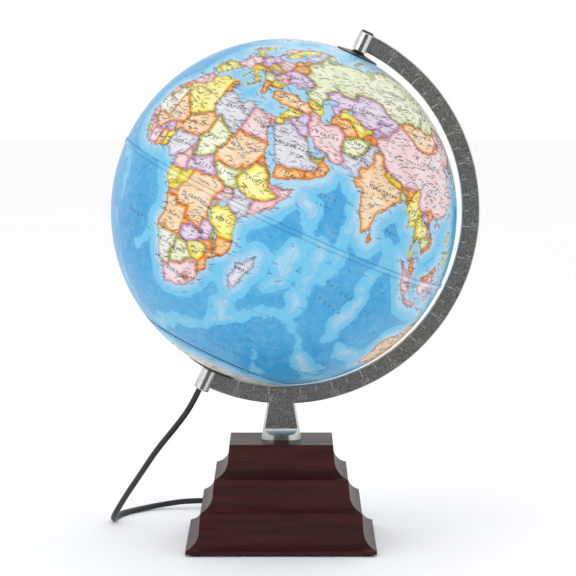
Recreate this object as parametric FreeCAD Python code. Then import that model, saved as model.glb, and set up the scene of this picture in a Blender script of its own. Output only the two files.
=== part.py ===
import FreeCAD, Part
import math
import os

# Illuminated 12 inch desk globe: a spinning ball on a tilted axis, held by a cast
# C-shaped meridian arm whose neck is bolted to a stepped wooden base.
# Millimetres. +Z is up, the front of the globe faces -Y, and the arm lies in the XZ
# plane with its open side to the left. The floor is z = 0.

# ---- ball ----
BALL_RADIUS = 152.4
BALL_WALL = 2.0
AXIS_TILT = 25.0            # degrees from vertical, north end leaning to +X
BALL_DROP = 1.8             # the ball hangs this far down the axis from the arm's centre
NORTH_HOLE_RADIUS = 5.0
SOUTH_HOLE_RADIUS = 19.0
SEAM_HALF_GAP = 0.6         # half the web of the equator band between the shells
BAND_HALF_WIDTH = 2.0
BAND_PROUD = 0.9
BAND_LIP_HALF_WIDTH = 6.0
BAND_LIP_THICKNESS = 1.4

# ---- meridian arm, a casting with its neck and two barrels ----
ARM_GAP = 3.9               # from the ball to the arm's inner edge
ARM_WIDTH = 15.5            # radial
ARM_THICKNESS = 9.0
ARM_BEVEL = 0.8
NECK_HEIGHT = 32.23         # from the base's top to the arm's outer edge
NORTH_BARREL_RADIUS = 6.7
NORTH_BARREL_CLEAR = 4.2    # ball surface to the barrel's lower end
NORTH_BARREL_SHY = 0.6      # upper end below the arm's outer edge
NORTH_BORE_RADIUS = 4.0
SOUTH_BARREL_RADIUS = 7.25
SOUTH_BARREL_LONG = 4.2     # lower end beyond the arm's outer edge
SOUTH_BARREL_ROUND = 1.2
SOUTH_END_WALL = 4.0
BARREL_CHAMFER = 0.7

NECK_FOOT_HALF_WIDTH = 17.9
NECK_FOOT_HALF_DEPTH = 10.3
NECK_TOP_HALF_WIDTH = 11.4
NECK_TOP_HALF_DEPTH = 8.8
NECK_TOP_IN_ARM = 6.0       # how far the neck's cone runs up into the arm
SCOOP_RADIUS = 8.0          # concave run-out below the flat front and back
SCOOP_START = 11.7          # its height above the foot
NECK_FROM_BALL = 2.4        # the neck stands this far left of the ball's centre

# ---- base: three stacked coved tiers ----
FOOT_HEIGHT = 2.0
FOOT_RADIUS = 5.0
FOOT_INSET = 9.0
BASE_HALF_WIDTH = 83.3
BASE_HALF_DEPTH = 72.3
LIP_HEIGHT = 3.2
COVE_RADIUS = 16.2
TIER_DRAFT = 1.2            # how far a tier's upright wall leans out from its top
EDGE_ROUND = 0.8
BOTTOM_TIER_HEIGHT = 33.8
MIDDLE_TIER_HEIGHT = 27.3
TOP_TIER_HEIGHT = 29.2
MIDDLE_TIER_INSET = 13.4    # edge of the middle tier, in from the bottom tier's lip
TOP_TIER_INSET = 24.9
BOTTOM_WALL_INSET = 12.7
MIDDLE_WALL_INSET = 24.6
TOP_WALL_INSET = 37.7
TIP_HEIGHT = 0.5

# ---- fasteners ----
BOLT_RADIUS = 3.0
BOLT_IN_NECK = 20.0
NECK_HOLE_SPARE = 2.0
BOLT_HEAD_RADIUS = 5.8
BOLT_HEAD_HEIGHT = 4.0
WASHER_RADIUS = 12.0
WASHER_THICKNESS = 2.0
COUNTERBORE_RADIUS = 14.0
COUNTERBORE_DEPTH = 16.0
SCREW_RADIUS = 2.0
SCREW_HEAD_RADIUS = 4.0
LOWER_SCREW_LENGTH = 50.0
UPPER_SCREW_LENGTH = 41.0
LOWER_SCREW_X = 44.0
LOWER_SCREW_Y = 34.0
UPPER_SCREW_X = 30.0
UPPER_SCREW_Y = 20.0

# ---- clearances ----
SEAT = 0.05                 # radial, between pieces that are fixed together
RUN = 0.06                  # radial, between a shaft and the hub that turns on it
SKIN = 0.03                 # between the ball and what is seated on its surface
THRUST_GAP = 0.1
BOTTOM_GAP = 0.3            # hub to barrel at the north end

# ---- north pivot ----
PIN_TIP_RADIUS = 2.0
PIN_TIP_DEPTH = 8.4         # below the ball's surface
PIN_SHOULDER = 1.0          # above the barrel's lower end
PIN_TOP_SHY = 1.5
CAP_RADIUS = 5.7
CAP_HEIGHT = 2.0
CAP_ROUND = 1.4
CAP_STEM = 1.4
NORTH_DISC_RADIUS = 19.0
NORTH_DISC_RIM = 1.3
NORTH_CONE_RADIUS = 6.5
NORTH_CONE_HEIGHT = 2.2     # above the ball's top
NORTH_NECK_RADIUS = 4.9
NORTH_PLUG_DEPTH = 9.4
CLIP_RADIUS = 9.0
CLIP_THICKNESS = 1.0
CLIP_BELOW_SHELL = 0.3

# ---- south bearing and lamp ----
SOUTH_DISC_RADIUS = 22.3
SOUTH_DISC_RIM = 1.0
SOUTH_DISC_THICKNESS = 1.8
SOUTH_WASHER_THICKNESS = 0.9
SOUTH_WASHER_RADIUS = 7.0
FLANGE_RING_THICKNESS = 1.8
FLANGE_RING_DEPTH = 6.4
FLANGE_WEB = 2.6
FLANGE_BEAD = 0.6
HUB_SLEEVE_RADIUS = 8.5
HUB_SLEEVE_DEPTH = 12.4
TUBE_RADIUS = 5.5
TUBE_WALL = 1.2
TUBE_INSIDE = 34.4          # how far the lamp tube reaches into the ball
LEAD_OFFSET = 1.5           # the lead lies against one side of the tube
NUT_ACROSS_FLATS = 15.0
NUT_HEIGHT = 4.0
HOLDER_RADIUS = 12.5
HOLDER_WALL = 3.0
HOLDER_FLOOR = 4.0
HOLDER_CAP_HEIGHT = 11.0
HOLDER_HEIGHT = 25.0
HOLDER_PARTITION = 3.0
SLEEVE_RADIUS = 6.6
SLEEVE_WALL = 0.5
SLEEVE_HEIGHT = 20.0
CONTACT_RADIUS = 3.0
CONTACT_THICKNESS = 1.0
RIVET_RADIUS = 1.2
BULB_CAP_RADIUS = 5.9
BULB_CAP_HEIGHT = 20.0
BULB_TIP_RADIUS = 2.5
BULB_TIP_HEIGHT = 1.8
BULB_RADIUS = 18.0
BULB_NECK_RADIUS = 6.2
BULB_NECK_HEIGHT = 12.0
GLASS_WALL = 0.8
HOLDER_BEVEL = 2.0
HOLDER_RIM = 1.0

# ---- power cord ----
CORD_RADIUS = 2.65
CORD_STRAIGHT = 18.0        # straight out of the south barrel before its first bend
GROMMET_RADIUS = 3.95
SWITCH_LENGTH = 60.0
SWITCH_WIDTH = 24.0
SWITCH_HEIGHT = 14.0
SWITCH_WALL = 1.8
SWITCH_CORNER = 5.0
SWITCH_EDGE = 1.5
SWITCH_SPLIT = 7.0          # height of the joint between the two shells
SWITCH_END = (-84.0, 155.0)  # x and y where the cord enters the switch
BOOT_LENGTH = 8.0
BOOT_RADIUS = 4.6
BOOT_TAPER = 1.2
ROCKER_LENGTH = 17.0
ROCKER_WIDTH = 9.0
ROCKER_TILT = 8.0           # degrees either side of level
ROCKER_GAP = 0.4
ROCKER_PIVOT_DEPTH = 3.5    # below the case's top face
ROCKER_PIN_RADIUS = 1.0
ROCKER_PIN_LENGTH = 1.6     # beyond the rocker's side
ROCKER_EAR = (6.0, 2.0, 6.0)
ROCKER_SKIRT = 2.2          # below the pivot
ROCKER_CROWN = 1.2          # its ends above the case
ROCKER_DISH = 1.4
SCREW_POST_RADIUS = 3.2
SWITCH_SCREW_HEAD = (2.4, 1.4)   # radius and height
SWITCH_SCREW_SHANK = 8.0
SWITCH_SCREW_LOW = 0.3
SWITCH_SCREW_RADIUS = 1.5
SWITCH_SCREW_X = 17.85
SWITCH_SCREW_Y = 7.5
COIL_CENTRE = (18.0, 118.0)
COIL_INNER_RADIUS = 18.4
COIL_OUTER_RADIUS = 39.6
COIL_HEIGHT = 10.6
TIE_WIDTH = 10.0
TIE_THICKNESS = 1.2
TIE_ROUND = 2.0
PLUG_LENGTH = 30.0
PLUG_WIDTH = 24.0
PLUG_HEIGHT = 17.0
PLUG_BOOT_LENGTH = 20.0
PLUG_BOOT_RADII = (3.55, 6.0)
PLUG_EDGE = 5.0
BLADE_LENGTH = 17.0
BLADE_WIDTH = 6.4
BLADE_THICKNESS = 1.5
BLADE_SPACING = 12.7

TILT = math.radians(AXIS_TILT)
AXIS = FreeCAD.Vector(math.sin(TILT), 0, math.cos(TILT))
ARM_INNER = BALL_RADIUS + ARM_GAP
ARM_OUTER = ARM_INNER + ARM_WIDTH
BASE_TOP = FOOT_HEIGHT + BOTTOM_TIER_HEIGHT + MIDDLE_TIER_HEIGHT + TOP_TIER_HEIGHT
BALL_CENTRE_Z = BASE_TOP + NECK_HEIGHT + ARM_OUTER - BALL_DROP * math.cos(TILT)
# The whole object is centred on its own width, from the ball's left side to the
# arm's right side, so the ball's centre lies left of the origin.
BALL_X = -(BALL_DROP * math.sin(TILT) + ARM_OUTER - BALL_RADIUS) / 2
BALL_CENTRE = FreeCAD.Vector(BALL_X, 0, BALL_CENTRE_Z)
ARM_CENTRE = BALL_CENTRE + AXIS * BALL_DROP
BASE_X = BALL_X - NECK_FROM_BALL

# Stations along the axis, measured from the ball's centre, north positive.
NORTH_BARREL_LOW = BALL_RADIUS + NORTH_BARREL_CLEAR
NORTH_BARREL_HIGH = ARM_OUTER + BALL_DROP - NORTH_BARREL_SHY
SOUTH_BARREL_HIGH = -(BALL_RADIUS + SOUTH_DISC_THICKNESS + THRUST_GAP + SOUTH_WASHER_THICKNESS)
SOUTH_BARREL_LOW = -(ARM_OUTER - BALL_DROP + SOUTH_BARREL_LONG)
TUBE_LOW = SOUTH_BARREL_LOW + SOUTH_END_WALL
TUBE_HIGH = -BALL_RADIUS + TUBE_INSIDE
HOLDER_LOW = TUBE_HIGH - HOLDER_FLOOR - HOLDER_BEVEL
HOLDER_JOINT = HOLDER_LOW + HOLDER_CAP_HEIGHT
HOLDER_SEAT = HOLDER_JOINT + HOLDER_PARTITION
HOLDER_HIGH = HOLDER_JOINT + HOLDER_HEIGHT

# ---- routes of the free cord, chosen by hand, from point to point ----
CORD_EXIT = BALL_CENTRE + AXIS * SOUTH_BARREL_LOW + FreeCAD.Vector(
    -math.cos(TILT), 0, math.sin(TILT)) * LEAD_OFFSET
ROUTE_TO_SWITCH = [
    CORD_EXIT, CORD_EXIT - AXIS * CORD_STRAIGHT, (-107.2, 5.0, 101.3), (-123.8, 17.0, 80.0),
    (-140.0, 33.0, 54.0), (-156.5, 54.0, 27.5), (-169.5, 78.0, 2.7), (-164.0, 113.0, 2.7),
    (-144.0, 139.0, 2.7), (-124.0, 152.0, 4.2), (-102.0, 155.0, 7.0), (-84.0, 155.0, 7.0)]
ROUTE_TO_COIL = [
    (-24.0, 155.0, 7.0), (-17.0, 155.0, 6.2), (-9.2, 154.97, 3.5), (-2.4, 154.95, 2.7)]
ROUTE_TO_PLUG = [
    (-2.4, 81.05, 7.95), (-10.3, 81.05, 8.5), (-18.0, 82.98, 8.5)]

V = FreeCAD.Vector
UP = V(0, 0, 1)
ORIGIN = V(0, 0, 0)


def save(shape, name):
    if not shape.isValid():
        print("NOT VALID", name)
    shape.exportStep("parts/" + name + ".step")
    print(name, "solids", len(shape.Solids), "volume", round(shape.Volume, 1))


def line(a, b):
    return Part.LineSegment(V(*a), V(*b)).toShape()


def arc(a, b, c):
    return Part.Arc(V(*a), V(*b), V(*c)).toShape()


def turned(edges):
    """Solid of revolution about Z from a closed outline in the XZ plane."""
    face = Part.Face(Part.Wire(edges))
    return face.revolve(ORIGIN, UP, 360)


def turned_polygon(points):
    corners = [V(r, 0, z) for r, z in points]
    face = Part.Face(Part.makePolygon(corners + corners[:1]))
    return face.revolve(ORIGIN, UP, 360)


def ring(inner, outer, low, high):
    if inner <= 0:
        return Part.makeCylinder(outer, high - low, V(0, 0, low))
    return Part.makeCylinder(outer, high - low, V(0, 0, low)).cut(
        Part.makeCylinder(inner, high - low + 2, V(0, 0, low - 1)))


def on_axis(shape):
    """Moves a shape drawn about Z, with the ball's centre at z = 0, onto the axis."""
    placed = shape.copy()
    placed.rotate(ORIGIN, V(0, 1, 0), AXIS_TILT)
    placed.translate(BALL_CENTRE)
    return placed


def sphere_height(radius, at):
    return math.sqrt(radius * radius - at * at)


def box(x, y, z, centre_x, centre_y, low_z):
    return Part.makeBox(x, y, z, V(centre_x - x / 2, centre_y - y / 2, low_z))


# ---- ball ----

def sphere_arc(radius, r_from, r_to, sign):
    """Arc of a sphere's outline from one distance off the axis to another."""
    a = math.asin(r_from / radius)
    b = math.asin(r_to / radius)
    points = []
    for angle in (a, (a + b) / 2, b):
        points.append((radius * math.sin(angle), 0, sign * radius * math.cos(angle)))
    return arc(*points), points[0], points[2]


def hemisphere(sign, hole):
    outer = BALL_RADIUS
    inner = BALL_RADIUS - BALL_WALL
    edge_out = sphere_height(outer, SEAM_HALF_GAP)
    edge_in = sphere_height(inner, SEAM_HALF_GAP)
    outside, out_pole, out_rim = sphere_arc(outer, hole, edge_out, sign)
    inside, in_rim, in_pole = sphere_arc(inner, edge_in, hole, sign)
    return on_axis(turned([outside, line(out_rim, in_rim), inside, line(in_pole, out_pole)]))


def equator_band():
    outer = BALL_RADIUS + SKIN
    proud = BALL_RADIUS + BAND_PROUD
    lip_out = sphere_height(BALL_RADIUS - BALL_WALL, BAND_LIP_HALF_WIDTH) - SKIN
    lip_in = lip_out - BAND_LIP_THICKNESS
    web = SEAM_HALF_GAP - SKIN
    half = [(lip_out, BAND_LIP_HALF_WIDTH), (lip_out, web), (outer, web),
            (outer, BAND_HALF_WIDTH), (proud - 0.3, BAND_HALF_WIDTH), (proud, BAND_HALF_WIDTH - 0.5)]
    lower = [(r, -z) for r, z in reversed(half)]
    return on_axis(turned_polygon(
        [(lip_in, BAND_LIP_HALF_WIDTH)] + half + lower + [(lip_in, -BAND_LIP_HALF_WIDTH)]))


def north_hub():
    bore = PIN_TIP_RADIUS + RUN
    plug = NORTH_HOLE_RADIUS - SEAT
    top = NORTH_BARREL_LOW - BOTTOM_GAP
    cone = BALL_RADIUS + NORTH_CONE_HEIGHT
    low = BALL_RADIUS - NORTH_PLUG_DEPTH
    under, under_in, under_out = sphere_arc(BALL_RADIUS + SKIN, plug, NORTH_DISC_RADIUS, 1)
    rim_top = (NORTH_DISC_RADIUS - 0.3, 0, under_out[2] + NORTH_DISC_RIM)
    outline = [(bore, 0, low), (plug, 0, low), under_in]
    edges = [line(outline[0], outline[1]), line(outline[1], outline[2]), under]
    rest = [under_out, (NORTH_DISC_RADIUS, 0, rim_top[2] - 0.3), rim_top,
            (NORTH_CONE_RADIUS, 0, cone), (NORTH_NECK_RADIUS, 0, cone + 0.8),
            (NORTH_NECK_RADIUS, 0, top), (bore, 0, top), (bore, 0, low)]
    for a, b in zip(rest, rest[1:]):
        edges.append(line(a, b))
    return on_axis(turned(edges))


def north_hub_clip():
    inner = BALL_RADIUS - BALL_WALL
    high = sphere_height(inner, CLIP_RADIUS) - CLIP_BELOW_SHELL
    return on_axis(ring(NORTH_HOLE_RADIUS, CLIP_RADIUS, high - CLIP_THICKNESS, high))


def south_flange():
    bore = TUBE_RADIUS + RUN
    ring_out = SOUTH_HOLE_RADIUS - SEAT
    ring_in = ring_out - FLANGE_RING_THICKNESS
    face = BALL_RADIUS + SOUTH_DISC_THICKNESS
    web = face - FLANGE_WEB
    ring_top = BALL_RADIUS - FLANGE_RING_DEPTH
    inner_face = sphere_height(BALL_RADIUS - BALL_WALL, SOUTH_HOLE_RADIUS)
    seat, seat_out, seat_in = sphere_arc(BALL_RADIUS + SKIN, SOUTH_DISC_RADIUS, ring_out, -1)
    rim = (SOUTH_DISC_RADIUS, 0, seat_out[2] - SOUTH_DISC_RIM)
    middle = (SOUTH_DISC_RADIUS + HUB_SLEEVE_RADIUS) / 2
    dome_mid = (middle, 0, -(face - 0.9))
    flat = (HUB_SLEEVE_RADIUS, 0, -face)
    bead = -(inner_face - 0.9)
    points = [seat_in, (ring_out, 0, bead - 0.6), (ring_out + FLANGE_BEAD, 0, bead),
              (ring_out, 0, bead + 0.9), (ring_out, 0, -ring_top), (ring_in, 0, -ring_top),
              (ring_in, 0, -(web - 1.2)), (HUB_SLEEVE_RADIUS, 0, -web),
              (HUB_SLEEVE_RADIUS, 0, -(BALL_RADIUS - HUB_SLEEVE_DEPTH)),
              (bore, 0, -(BALL_RADIUS - HUB_SLEEVE_DEPTH)), (bore, 0, -face), flat]
    edges = [arc(flat, dome_mid, rim), line(rim, seat_out), seat]
    for a, b in zip(points, points[1:]):
        edges.append(line(a, b))
    return on_axis(turned(edges))


# ---- stand: meridian arm ----

def arm_plate():
    """Flat ring sector between the two barrels, with its long edges bevelled."""
    start = math.radians(90 - AXIS_TILT)
    middle = start - math.pi / 2
    end = start - math.pi
    half = ARM_THICKNESS / 2

    def at(radius, angle, y):
        return (radius * math.cos(angle), y, radius * math.sin(angle))

    def sector(inner, outer, y):
        return Part.Wire([
            arc(at(outer, start, y), at(outer, middle, y), at(outer, end, y)),
            line(at(outer, end, y), at(inner, end, y)),
            arc(at(inner, end, y), at(inner, middle, y), at(inner, start, y)),
            line(at(inner, start, y), at(outer, start, y))])

    body = Part.Face(sector(ARM_INNER, ARM_OUTER, -half)).extrude(V(0, ARM_THICKNESS, 0))
    long_edges = []
    for edge in body.Edges:
        flat_ends = abs(edge.BoundBox.YMax - edge.BoundBox.YMin) < 0.01
        if flat_ends and edge.Length > 2 * ARM_WIDTH:
            long_edges.append(edge)
    body = body.makeChamfer(ARM_BEVEL, long_edges)
    body.translate(ARM_CENTRE)
    return body


def neck():
    """Flared oval cone, cut flush with the arm's faces and scooped out at its foot."""
    top = ARM_CENTRE.z - ARM_OUTER + NECK_TOP_IN_ARM

    def oval(width, depth, z):
        ellipse = Part.Ellipse(V(BASE_X, 0, z), width, depth)
        return Part.Wire([ellipse.toShape()])

    cone = Part.makeLoft([oval(NECK_FOOT_HALF_WIDTH, NECK_FOOT_HALF_DEPTH, BASE_TOP),
                          oval(NECK_TOP_HALF_WIDTH, NECK_TOP_HALF_DEPTH, top)], True, True)
    face_y = ARM_THICKNESS / 2
    scoop = BASE_TOP + SCOOP_START
    reach = 2 * NECK_FOOT_HALF_WIDTH
    centre_y = face_y + SCOOP_RADIUS
    forty_five = SCOOP_RADIUS * math.sqrt(0.5)
    low = scoop - SCOOP_RADIUS
    for side in (-1, 1):
        outline = [
            line((0, side * face_y, top + 10), (0, side * face_y, scoop)),
            arc((0, side * face_y, scoop), (0, side * (centre_y - forty_five), scoop - forty_five),
                (0, side * centre_y, low)),
            line((0, side * centre_y, low), (0, side * (centre_y + 20), low)),
            line((0, side * (centre_y + 20), low), (0, side * (centre_y + 20), top + 10)),
            line((0, side * (centre_y + 20), top + 10), (0, side * face_y, top + 10))]
        cutter = Part.Face(Part.Wire(outline)).extrude(V(2 * reach, 0, 0))
        cutter.translate(V(BASE_X - reach, 0, 0))
        cone = cone.cut(cutter)
    return cone


def barrel(radius, low, high):
    return Part.makeCylinder(radius, high - low, V(0, 0, low))


def meridian_arm():
    north = barrel(NORTH_BARREL_RADIUS, NORTH_BARREL_LOW, NORTH_BARREL_HIGH)
    north = north.makeChamfer(BARREL_CHAMFER, [
        e for e in north.Edges if e.BoundBox.ZMin > NORTH_BARREL_HIGH - 0.01])
    south = barrel(SOUTH_BARREL_RADIUS, SOUTH_BARREL_LOW, SOUTH_BARREL_HIGH)
    south = south.makeFillet(SOUTH_BARREL_ROUND, [
        e for e in south.Edges if e.BoundBox.ZMax < SOUTH_BARREL_LOW + 0.01])
    body = arm_plate().fuse(neck()).fuse(on_axis(north)).fuse(on_axis(south))
    north_bore = barrel(NORTH_BORE_RADIUS, NORTH_BARREL_LOW - 5, NORTH_BARREL_HIGH + 5)
    tube_bore = barrel(TUBE_RADIUS + SEAT, TUBE_LOW, SOUTH_BARREL_HIGH + 5)
    cap_seat = barrel(NORTH_BARREL_RADIUS, NORTH_BARREL_HIGH, NORTH_BARREL_HIGH + 5)
    washer_seat = barrel(SOUTH_BARREL_RADIUS + SEAT, SOUTH_BARREL_HIGH, SOUTH_BARREL_HIGH + 5)
    grommet_bore = Part.makeCylinder(GROMMET_RADIUS + SEAT, SOUTH_END_WALL + 10,
                                     V(-LEAD_OFFSET, 0, SOUTH_BARREL_LOW - 5))
    bolt_bore = Part.makeCylinder(BOLT_RADIUS + SEAT, BOLT_IN_NECK + NECK_HOLE_SPARE,
                                  V(BASE_X, 0, BASE_TOP))
    for tool in (on_axis(north_bore), on_axis(cap_seat), on_axis(tube_bore),
                 on_axis(washer_seat), on_axis(grommet_bore), bolt_bore):
        body = body.cut(tool)
    return body.removeSplitter()


# ---- stand: base ----

def tier_outline(half, top_inset, tip_inset, lip, low, height, to_point):
    """One side of a tier's outline, from its bottom centre out, up the cove and back."""
    outer = half - tip_inset
    wall = half - top_inset
    start_r = outer - wall
    rise = math.sqrt(COVE_RADIUS ** 2 - (COVE_RADIUS - start_r) ** 2)
    lip_top = low + lip
    cove_top = lip_top + rise
    centre = wall + COVE_RADIUS
    angle = math.atan2(rise, COVE_RADIUS - start_r) / 2
    mid = (centre - COVE_RADIUS * math.cos(angle), cove_top - COVE_RADIUS * math.sin(angle))
    top = low + height
    right = [("line", (outer, low), (outer, lip_top)),
             ("arc", (outer, lip_top), mid, (wall, cove_top)),
             ("line", (wall, cove_top), (wall - TIER_DRAFT, top))]
    edges = []
    for side in (1, -1):
        for kind, *points in right:
            placed = [to_point(side * r, z) for r, z in points]
            edges.append(line(*placed) if kind == "line" else arc(*placed))
    edges.append(line(to_point(outer, low), to_point(-outer, low)))
    top_half = wall - TIER_DRAFT
    edges.append(line(to_point(top_half, top), to_point(-top_half, top)))
    return Part.Face(Part.Wire(Part.__sortEdges__(edges)))


def tier(wall_inset, tip_inset, lip, low, height):
    """A coved block with mitred corners: what two crossed mouldings share."""
    reach = 4 * BASE_HALF_WIDTH
    along_y = tier_outline(BASE_HALF_WIDTH, wall_inset, tip_inset, lip, low, height,
                           lambda r, z: (r, -reach / 2, z)).extrude(V(0, reach, 0))
    along_x = tier_outline(BASE_HALF_DEPTH, wall_inset, tip_inset, lip, low, height,
                           lambda r, z: (-reach / 2, r, z)).extrude(V(reach, 0, 0))
    block = along_y.common(along_x)
    block.translate(V(BASE_X, 0, 0))
    hole = Part.makeCylinder(BOLT_RADIUS + BOTTOM_GAP, height + 2, V(BASE_X, 0, low - 1))
    return block.cut(hole)


def four(x, y):
    return [(BASE_X + sx * x, sy * y) for sx in (-1, 1) for sy in (-1, 1)]


def wood_screws(x, y, low, length, grow=0.0):
    """Countersunk screws driven upwards from the level low."""
    head = SCREW_HEAD_RADIUS - SCREW_RADIUS
    screws = []
    for px, py in four(x, y):
        shank = Part.makeCylinder(SCREW_RADIUS + grow, length - 3, V(px, py, low))
        point = Part.makeCone(SCREW_RADIUS + grow, 0.4 + grow, 3 + grow, V(px, py, low + length - 3))
        sunk = Part.makeCone(SCREW_HEAD_RADIUS + grow, SCREW_RADIUS + grow, head, V(px, py, low))
        screws.append(shank.fuse(point).fuse(sunk).removeSplitter())
    return screws


def base_tiers():
    low = FOOT_HEIGHT
    mid = low + BOTTOM_TIER_HEIGHT
    top = mid + MIDDLE_TIER_HEIGHT
    bottom_tier = tier(BOTTOM_WALL_INSET - TIER_DRAFT, 0.0, LIP_HEIGHT, low, BOTTOM_TIER_HEIGHT)
    middle_tier = tier(MIDDLE_WALL_INSET - TIER_DRAFT, MIDDLE_TIER_INSET, TIP_HEIGHT,
                       mid, MIDDLE_TIER_HEIGHT)
    top_tier = tier(TOP_WALL_INSET - TIER_DRAFT, TOP_TIER_INSET, TIP_HEIGHT, top, TOP_TIER_HEIGHT)
    top_edges = []
    for edge in top_tier.Edges:
        if edge.BoundBox.ZMin > BASE_TOP - 0.01 and edge.Length > 4 * BOLT_RADIUS * math.pi:
            top_edges.append(edge)
    top_tier = top_tier.makeFillet(EDGE_ROUND, top_edges)
    bottom_tier = bottom_tier.cut(
        Part.makeCylinder(COUNTERBORE_RADIUS, COUNTERBORE_DEPTH, V(BASE_X, 0, low)))
    lower = wood_screws(LOWER_SCREW_X, LOWER_SCREW_Y, low, LOWER_SCREW_LENGTH, SEAT)
    upper = wood_screws(UPPER_SCREW_X, UPPER_SCREW_Y, mid, UPPER_SCREW_LENGTH, SEAT)
    for screw in lower:
        bottom_tier = bottom_tier.cut(screw)
        middle_tier = middle_tier.cut(screw)
    for screw in upper:
        middle_tier = middle_tier.cut(screw)
        top_tier = top_tier.cut(screw)
    return bottom_tier, middle_tier, top_tier


def rubber_feet():
    feet = []
    for px, py in four(BASE_HALF_WIDTH - FOOT_INSET, BASE_HALF_DEPTH - FOOT_INSET):
        pad = Part.makeCone(FOOT_RADIUS - 0.4, FOOT_RADIUS, FOOT_HEIGHT, V(px, py, 0))
        feet.append(pad)
    return Part.makeCompound(feet)


def hexagon(across, height, low, centre_x=0.0, centre_y=0.0):
    corner = across / math.sqrt(3)
    points = []
    for k in range(7):
        angle = math.radians(60 * k)
        points.append(V(centre_x + corner * math.cos(angle), centre_y + corner * math.sin(angle), low))
    return Part.Face(Part.makePolygon(points)).extrude(V(0, 0, height))


WASHER_LOW = FOOT_HEIGHT + COUNTERBORE_DEPTH - WASHER_THICKNESS


def clamp_bolt():
    head = hexagon(2 * BOLT_HEAD_RADIUS * math.cos(math.pi / 6), BOLT_HEAD_HEIGHT,
                   WASHER_LOW - BOLT_HEAD_HEIGHT, BASE_X)
    shank = Part.makeCylinder(BOLT_RADIUS, BASE_TOP + BOLT_IN_NECK - WASHER_LOW,
                              V(BASE_X, 0, WASHER_LOW))
    return head.fuse(shank)


def clamp_washer():
    washer = ring(BOLT_RADIUS + SEAT, WASHER_RADIUS, WASHER_LOW, WASHER_LOW + WASHER_THICKNESS)
    washer.translate(V(BASE_X, 0, 0))
    return washer


# ---- stand: north pivot ----

def north_pin():
    step = NORTH_BARREL_LOW + PIN_SHOULDER
    high = NORTH_BARREL_HIGH - PIN_TOP_SHY
    tip = barrel(PIN_TIP_RADIUS, BALL_RADIUS - PIN_TIP_DEPTH, step)
    tip = tip.makeChamfer(0.4, [e for e in tip.Edges if e.BoundBox.ZMax < step - 1])
    body = barrel(NORTH_BORE_RADIUS - SEAT, step, high)
    slot = box(2 * NORTH_BORE_RADIUS, 1.0, 1.2, 0, 0, high - 1.2)
    return on_axis(tip.fuse(body).cut(slot))


def north_pin_cap():
    low = NORTH_BARREL_HIGH
    stem = barrel(NORTH_BORE_RADIUS - SEAT, low - CAP_STEM, low)
    dome = barrel(CAP_RADIUS, low, low + CAP_HEIGHT)
    dome = dome.makeFillet(CAP_ROUND, [
        e for e in dome.Edges if e.BoundBox.ZMin > low + CAP_HEIGHT - 0.01])
    return on_axis(dome.fuse(stem).removeSplitter())


# ---- stand: lamp ----

def lamp_tube():
    return on_axis(ring(TUBE_RADIUS - TUBE_WALL, TUBE_RADIUS, TUBE_LOW, TUBE_HIGH))


def south_washer():
    return on_axis(ring(TUBE_RADIUS + SEAT, SOUTH_WASHER_RADIUS, SOUTH_BARREL_HIGH,
                        SOUTH_BARREL_HIGH + SOUTH_WASHER_THICKNESS))


def cord_grommet():
    sleeve = ring(CORD_RADIUS + SEAT, GROMMET_RADIUS, SOUTH_BARREL_LOW, TUBE_LOW)
    sleeve.translate(V(-LEAD_OFFSET, 0, 0))
    return on_axis(sleeve)


def inner_lead():
    lead = Part.makeCylinder(CORD_RADIUS, TUBE_HIGH + 1.5 - SOUTH_BARREL_LOW,
                             V(-LEAD_OFFSET, 0, SOUTH_BARREL_LOW))
    return on_axis(lead)


def holder_nut():
    low = HOLDER_LOW - NUT_HEIGHT
    nut = hexagon(NUT_ACROSS_FLATS, NUT_HEIGHT, low)
    return on_axis(nut.cut(barrel(TUBE_RADIUS + SEAT, low - 1, HOLDER_LOW + 1)))


def holder_cap():
    inner = HOLDER_RADIUS - HOLDER_WALL
    floor = HOLDER_LOW + HOLDER_FLOOR
    return on_axis(turned_polygon([
        (TUBE_RADIUS + SEAT, HOLDER_LOW), (HOLDER_RADIUS - HOLDER_BEVEL, HOLDER_LOW),
        (HOLDER_RADIUS, HOLDER_LOW + HOLDER_BEVEL), (HOLDER_RADIUS, HOLDER_JOINT),
        (inner, HOLDER_JOINT), (inner, floor), (TUBE_RADIUS + SEAT, floor)]))


def lampholder():
    bore = SLEEVE_RADIUS + SEAT
    rivet = RIVET_RADIUS + SEAT
    return on_axis(turned_polygon([
        (rivet, HOLDER_JOINT), (HOLDER_RADIUS, HOLDER_JOINT), (HOLDER_RADIUS, HOLDER_HIGH - HOLDER_RIM),
        (HOLDER_RADIUS - HOLDER_RIM, HOLDER_HIGH), (bore, HOLDER_HIGH), (bore, HOLDER_SEAT),
        (rivet, HOLDER_SEAT)]))


def socket_sleeve():
    return on_axis(ring(SLEEVE_RADIUS - SLEEVE_WALL, SLEEVE_RADIUS, HOLDER_SEAT,
                        HOLDER_SEAT + SLEEVE_HEIGHT))


def centre_contact():
    disc = barrel(CONTACT_RADIUS, HOLDER_SEAT, HOLDER_SEAT + CONTACT_THICKNESS)
    rivet = barrel(RIVET_RADIUS, HOLDER_JOINT - 1.0, HOLDER_SEAT)
    return on_axis(disc.fuse(rivet).removeSplitter())


BULB_LOW = HOLDER_SEAT + CONTACT_THICKNESS
BULB_CAP_LOW = BULB_LOW + BULB_TIP_HEIGHT
GLASS_LOW = BULB_CAP_LOW + BULB_CAP_HEIGHT


def bulb_cap():
    tip = barrel(BULB_TIP_RADIUS, BULB_LOW, BULB_CAP_LOW)
    shell = barrel(BULB_CAP_RADIUS, BULB_CAP_LOW, GLASS_LOW)
    return on_axis(shell.fuse(tip))


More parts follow.
